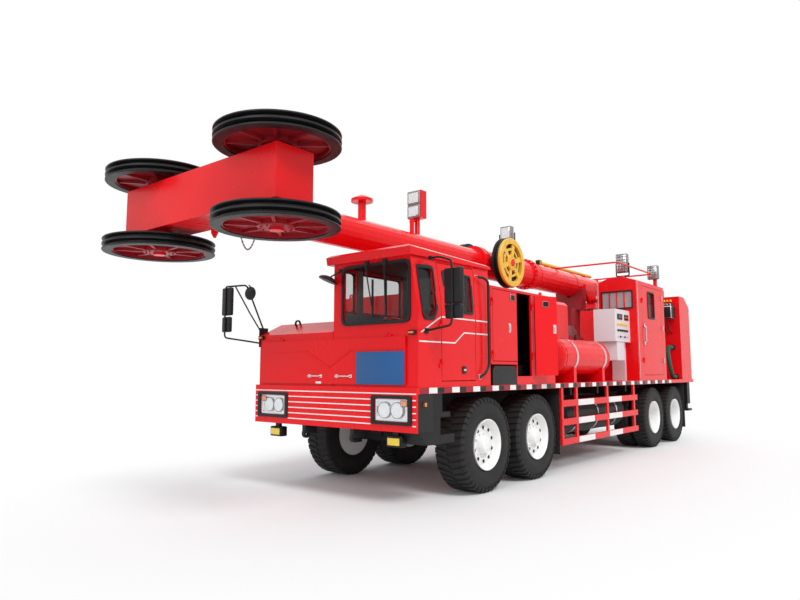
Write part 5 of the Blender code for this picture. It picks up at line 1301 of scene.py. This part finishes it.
class RIG_OT_floodlights(bpy.types.Operator):
    """Work lamps on the mast, the control cabin and the mast support"""

    bl_idname = "rig.floodlights"
    bl_label = "Floodlights"

    def lamp(self, shape, x, s, z, wide, tall, deep=0.12, grid=False):
        """A rounded housing looking forward, z at its lower edge."""
        shape.use(0).box((x - wide / 2, x + wide / 2), (s, s + deep), (z, z + tall), 0.016)
        for i in range(5):
            fin = z + tall * (i + 0.5) / 5
            shape.box((x - wide * 0.4, x + wide * 0.4), (s + deep - 0.004, s + deep + 0.014), (fin - 0.004, fin + 0.004))
        shape.use(1).box((x - wide * 0.43, x + wide * 0.43), (s - 0.004, s + 0.01), (z + 0.02, z + tall - 0.02), 0.004)
        shape.use(2).box((x - wide * 0.42, x + wide * 0.42), (s - 0.010, s - 0.0045), (z + 0.022, z + tall - 0.022), 0.002)
        if grid:
            shape.use(3)
            for i in range(1, 6):
                at = x - wide * 0.42 + wide * 0.84 * i / 6
                shape.box((at - 0.003, at + 0.003), (s - 0.016, s - 0.010), (z + 0.01, z + tall - 0.01))
                level = z + tall * i / 6
                shape.box((x - wide * 0.45, x + wide * 0.45), (s - 0.020, s - 0.0155), (level - 0.003, level + 0.003))

    def execute(self, context):
        finishes = (galvanised(), chrome(), clear_glass(), black_plastic(), enamel())
        top = Shape(*finishes)
        self.lamp(top, 0, 1.735, 4.004, 0.236, 0.205, 0.02)
        self.lamp(top, 0, 1.735, 3.800, 0.236, 0.200, 0.02)
        top.use(4).box((-0.03, 0.03), (1.80, 1.86), (3.55, 3.81), 0.006)
        top.done("floodlight_upper", "mast_upper", "rig_red")
        lower = Shape(*finishes)
        self.lamp(lower, 0, 4.44, 3.88, 0.22, 0.27)
        lower.use(3).pipe([(-0.155, 4.50, 4.02), (-0.155, 4.50, 3.84), (0.155, 4.50, 3.84), (0.155, 4.50, 4.02)], 0.012, 8,
                          0.03)
        lower.use(4).box((-0.03, 0.03), (4.47, 4.53), (3.58, 3.85), 0.006)
        lower.done("floodlight_lower", "mast_lower", "rig_red")
        fixed = Shape(*finishes)
        self.lamp(fixed, 0.90, 7.70, 3.60, 0.24, 0.40, 0.12, True)
        fixed.use(3).pipe([(0.765, 7.76, 3.80), (0.765, 7.76, 3.53), (1.035, 7.76, 3.53), (1.035, 7.76, 3.80)], 0.014, 8, 0.03)
        fixed.use(4).box((0.86, 0.94), (7.72, 7.80), (3.38, 3.54), 0.006)
        self.lamp(fixed, 0.98, 9.42, 3.64, 0.24, 0.32, 0.12, True)
        fixed.use(4).box((0.96, 1.04), (9.50, 9.56), (3.40, 3.68), 0.006)
        fixed.box((0.96, 1.04), (9.50, 10.02), (3.24, 3.42), 0.006)
        fixed.done("floodlights_fixed", "carrier", "rig_red")
        return {"FINISHED"}


class RIG_OT_underbody(bpy.types.Operator):
    """White bands on the side guards, mud flaps and tank straps"""

    bl_idname = "rig.underbody"
    bl_label = "Underbody"

    def execute(self, context):
        bands = Shape(white_line())
        for z0, z1 in ((0.404, 0.50), (0.70, 0.80), (0.985, 1.085)):
            for s0, s1 in ((4.22, 4.85), (5.49, 6.10)):
                bands.box((1.4001, 1.4022), (s0, s1), (z0 + 0.003, z1 - 0.003))
        bands.mirror_too().done("guard_bands", "carrier", "rig_red")
        flaps = Shape(tyre_rubber(), black_paint(), steel())
        for s, x, out in ((3.613, 0.90, 1.352), (9.990, 0.74, 1.385)):
            flaps.use(0).box((x, out), (s, s + 0.012), (0.27, 1.17), 0.003)
            flaps.use(1).box((x, out), (s + 0.012, s + 0.024), (1.15, 1.275), 0.003)
        flaps.use(2)
        for s in (4.45, 5.30, 6.15):
            flaps.turned((0.98, s - 0.025, 0.80), (0, 1, 0), [(0, 0.298), (0, 0.304), (0.05, 0.304), (0.05, 0.298)], 48,
                         closed=True)
        flaps.mirror_too().done("flaps_and_straps", "carrier", "chassis_black")
        return {"FINISHED"}


class RIG_OT_hose(bpy.types.Operator):
    """The big fabric hose of the mast support, with its clamps and the valve block"""

    bl_idname = "rig.hose"
    bl_label = "Hose and valves"

    route = ((1.20, 9.9494, 2.08), (1.20, 9.84, 2.08), (1.20, 9.72, 2.08), (1.22, 9.55, 2.04), (1.27, 9.36, 1.88),
             (1.31, 9.32, 1.66), (1.31, 9.42, 1.50), (1.28, 9.56, 1.43), (1.25, 9.70, 1.40), (1.25, 9.82, 1.40),
             (1.25, 9.947, 1.40))

    def smooth(self, steps=6):
        """Points on a curve through the route."""
        points = [Vector(p) for p in self.route]
        points = [2 * points[0] - points[1]] + points + [2 * points[-1] - points[-2]]
        line = []
        for a, b, c, d in zip(points, points[1:], points[2:], points[3:]):
            for i in range(steps):
                t = i / steps
                line.append(0.5 * (2 * b + (c - a) * t + (2 * a - 5 * b + 4 * c - d) * t ** 2
                                   + (3 * b - a - 3 * c + d) * t ** 3))
        return line + [points[-2]]

    def execute(self, context):
        radius = context.scene.rig_sizes.hose
        line = [p + Vector((0, NOSE_Y, 0)) for p in self.smooth()]
        curve = bpy.data.curves.new("hose", "CURVE")
        curve.dimensions = "3D"
        curve.bevel_depth = radius
        curve.bevel_resolution = 5
        curve.use_fill_caps = True
        spline = curve.splines.new("POLY")
        spline.points.add(len(line) - 1)
        for point, place in zip(spline.points, line):
            point.co = (*place, 1)
        curve.materials.append(hose_fabric())
        hose = bpy.data.objects.new("hose", curve)
        context.scene.collection.objects.link(hose)
        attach(hose, "carrier")
        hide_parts("green_hose")

        fittings = Shape(steel(), black_plastic(), yellow(), enamel())
        for x, z in ((1.20, 2.08), (1.25, 1.40)):
            for s in (9.835, 9.900):
                fittings.use(0).turned((x, s - 0.008, z), (0, 1, 0), [
                    (0, radius - 0.001), (0, radius + 0.005), (0.016, radius + 0.005), (0.016, radius - 0.001)], 32,
                    closed=True)
            fittings.use(1).turned((x, 9.925, z), (0, 1, 0), [
                (0, radius + 0.001), (0, radius + 0.02), (0.024, radius + 0.02), (0.024, radius + 0.001)], 32, closed=True)
        fittings.use(1).box((0.94, 1.30), (9.62, 9.93), (2.74, 3.02), 0.012)
        for i in range(5):
            x = 0.985 + i * 0.068
            fittings.use(1).box((x - 0.024, x + 0.024), (9.66, 9.90), (3.016, 3.075), 0.008)
            fittings.disc((x, 9.74, 3.07), (0, 0, 1), 0.012, 0.07, 12)
            fittings.use(2).disc((x, 9.74, 3.125), (0, 0, 1), 0.026, 0.05, 20, 0.014)
        fittings.use(3).box((0.98, 1.22), (9.92, 9.951), (2.82, 3.04), 0.004)
        for i in range(3):
            x = 1.0 + i * 0.085
            fittings.use(1).pipe([(x, 9.70, 2.85), (x, 9.70, 2.70), (x + 0.02, 9.80, 2.45), (x + 0.03, 9.944, 2.40)], 0.013,
                                 10, 0.08)
        fittings.done("hose_fittings", "carrier", "bright_steel")
        return {"FINISHED"}


class RIG_PT_panel(bpy.types.Panel):
    """Sizes, colours and the build steps"""

    bl_idname = "RIG_PT_panel"
    bl_label = "Workover rig"
    bl_space_type = "VIEW_3D"
    bl_region_type = "UI"
    bl_category = "Rig"

    def draw(self, context):
        for group in (context.scene.rig_paint, context.scene.rig_sizes):
            for name in group.__annotations__:
                self.layout.prop(group, name)
        for operator in OPERATORS:
            self.layout.operator(operator.bl_idname)


OPERATORS = (
    RIG_OT_stage, RIG_OT_paint, RIG_OT_wheels, RIG_OT_sheaves, RIG_OT_bumper, RIG_OT_nose, RIG_OT_cab,
    RIG_OT_mirrors, RIG_OT_cabinets, RIG_OT_plant, RIG_OT_control_cabin, RIG_OT_mast, RIG_OT_floodlights,
    RIG_OT_underbody, RIG_OT_hose,
)
CLASSES = (RigPaint, RigSizes, *OPERATORS, RIG_PT_panel)


def register():
    for each in CLASSES:
        bpy.utils.register_class(each)
    bpy.types.Scene.rig_paint = PointerProperty(type=RigPaint)
    bpy.types.Scene.rig_sizes = PointerProperty(type=RigSizes)


def unregister():
    del bpy.types.Scene.rig_sizes
    del bpy.types.Scene.rig_paint
    for each in reversed(CLASSES):
        bpy.utils.unregister_class(each)


def corners(box):
    return [[round(value, 4) for value in corner] for corner in box]


def main():
    register()
    for operator in OPERATORS:
        group, name = operator.bl_idname.split(".")
        getattr(getattr(bpy.ops, group), name)()
    bpy.context.view_layer.update()


if __name__ == "__main__":
    main()
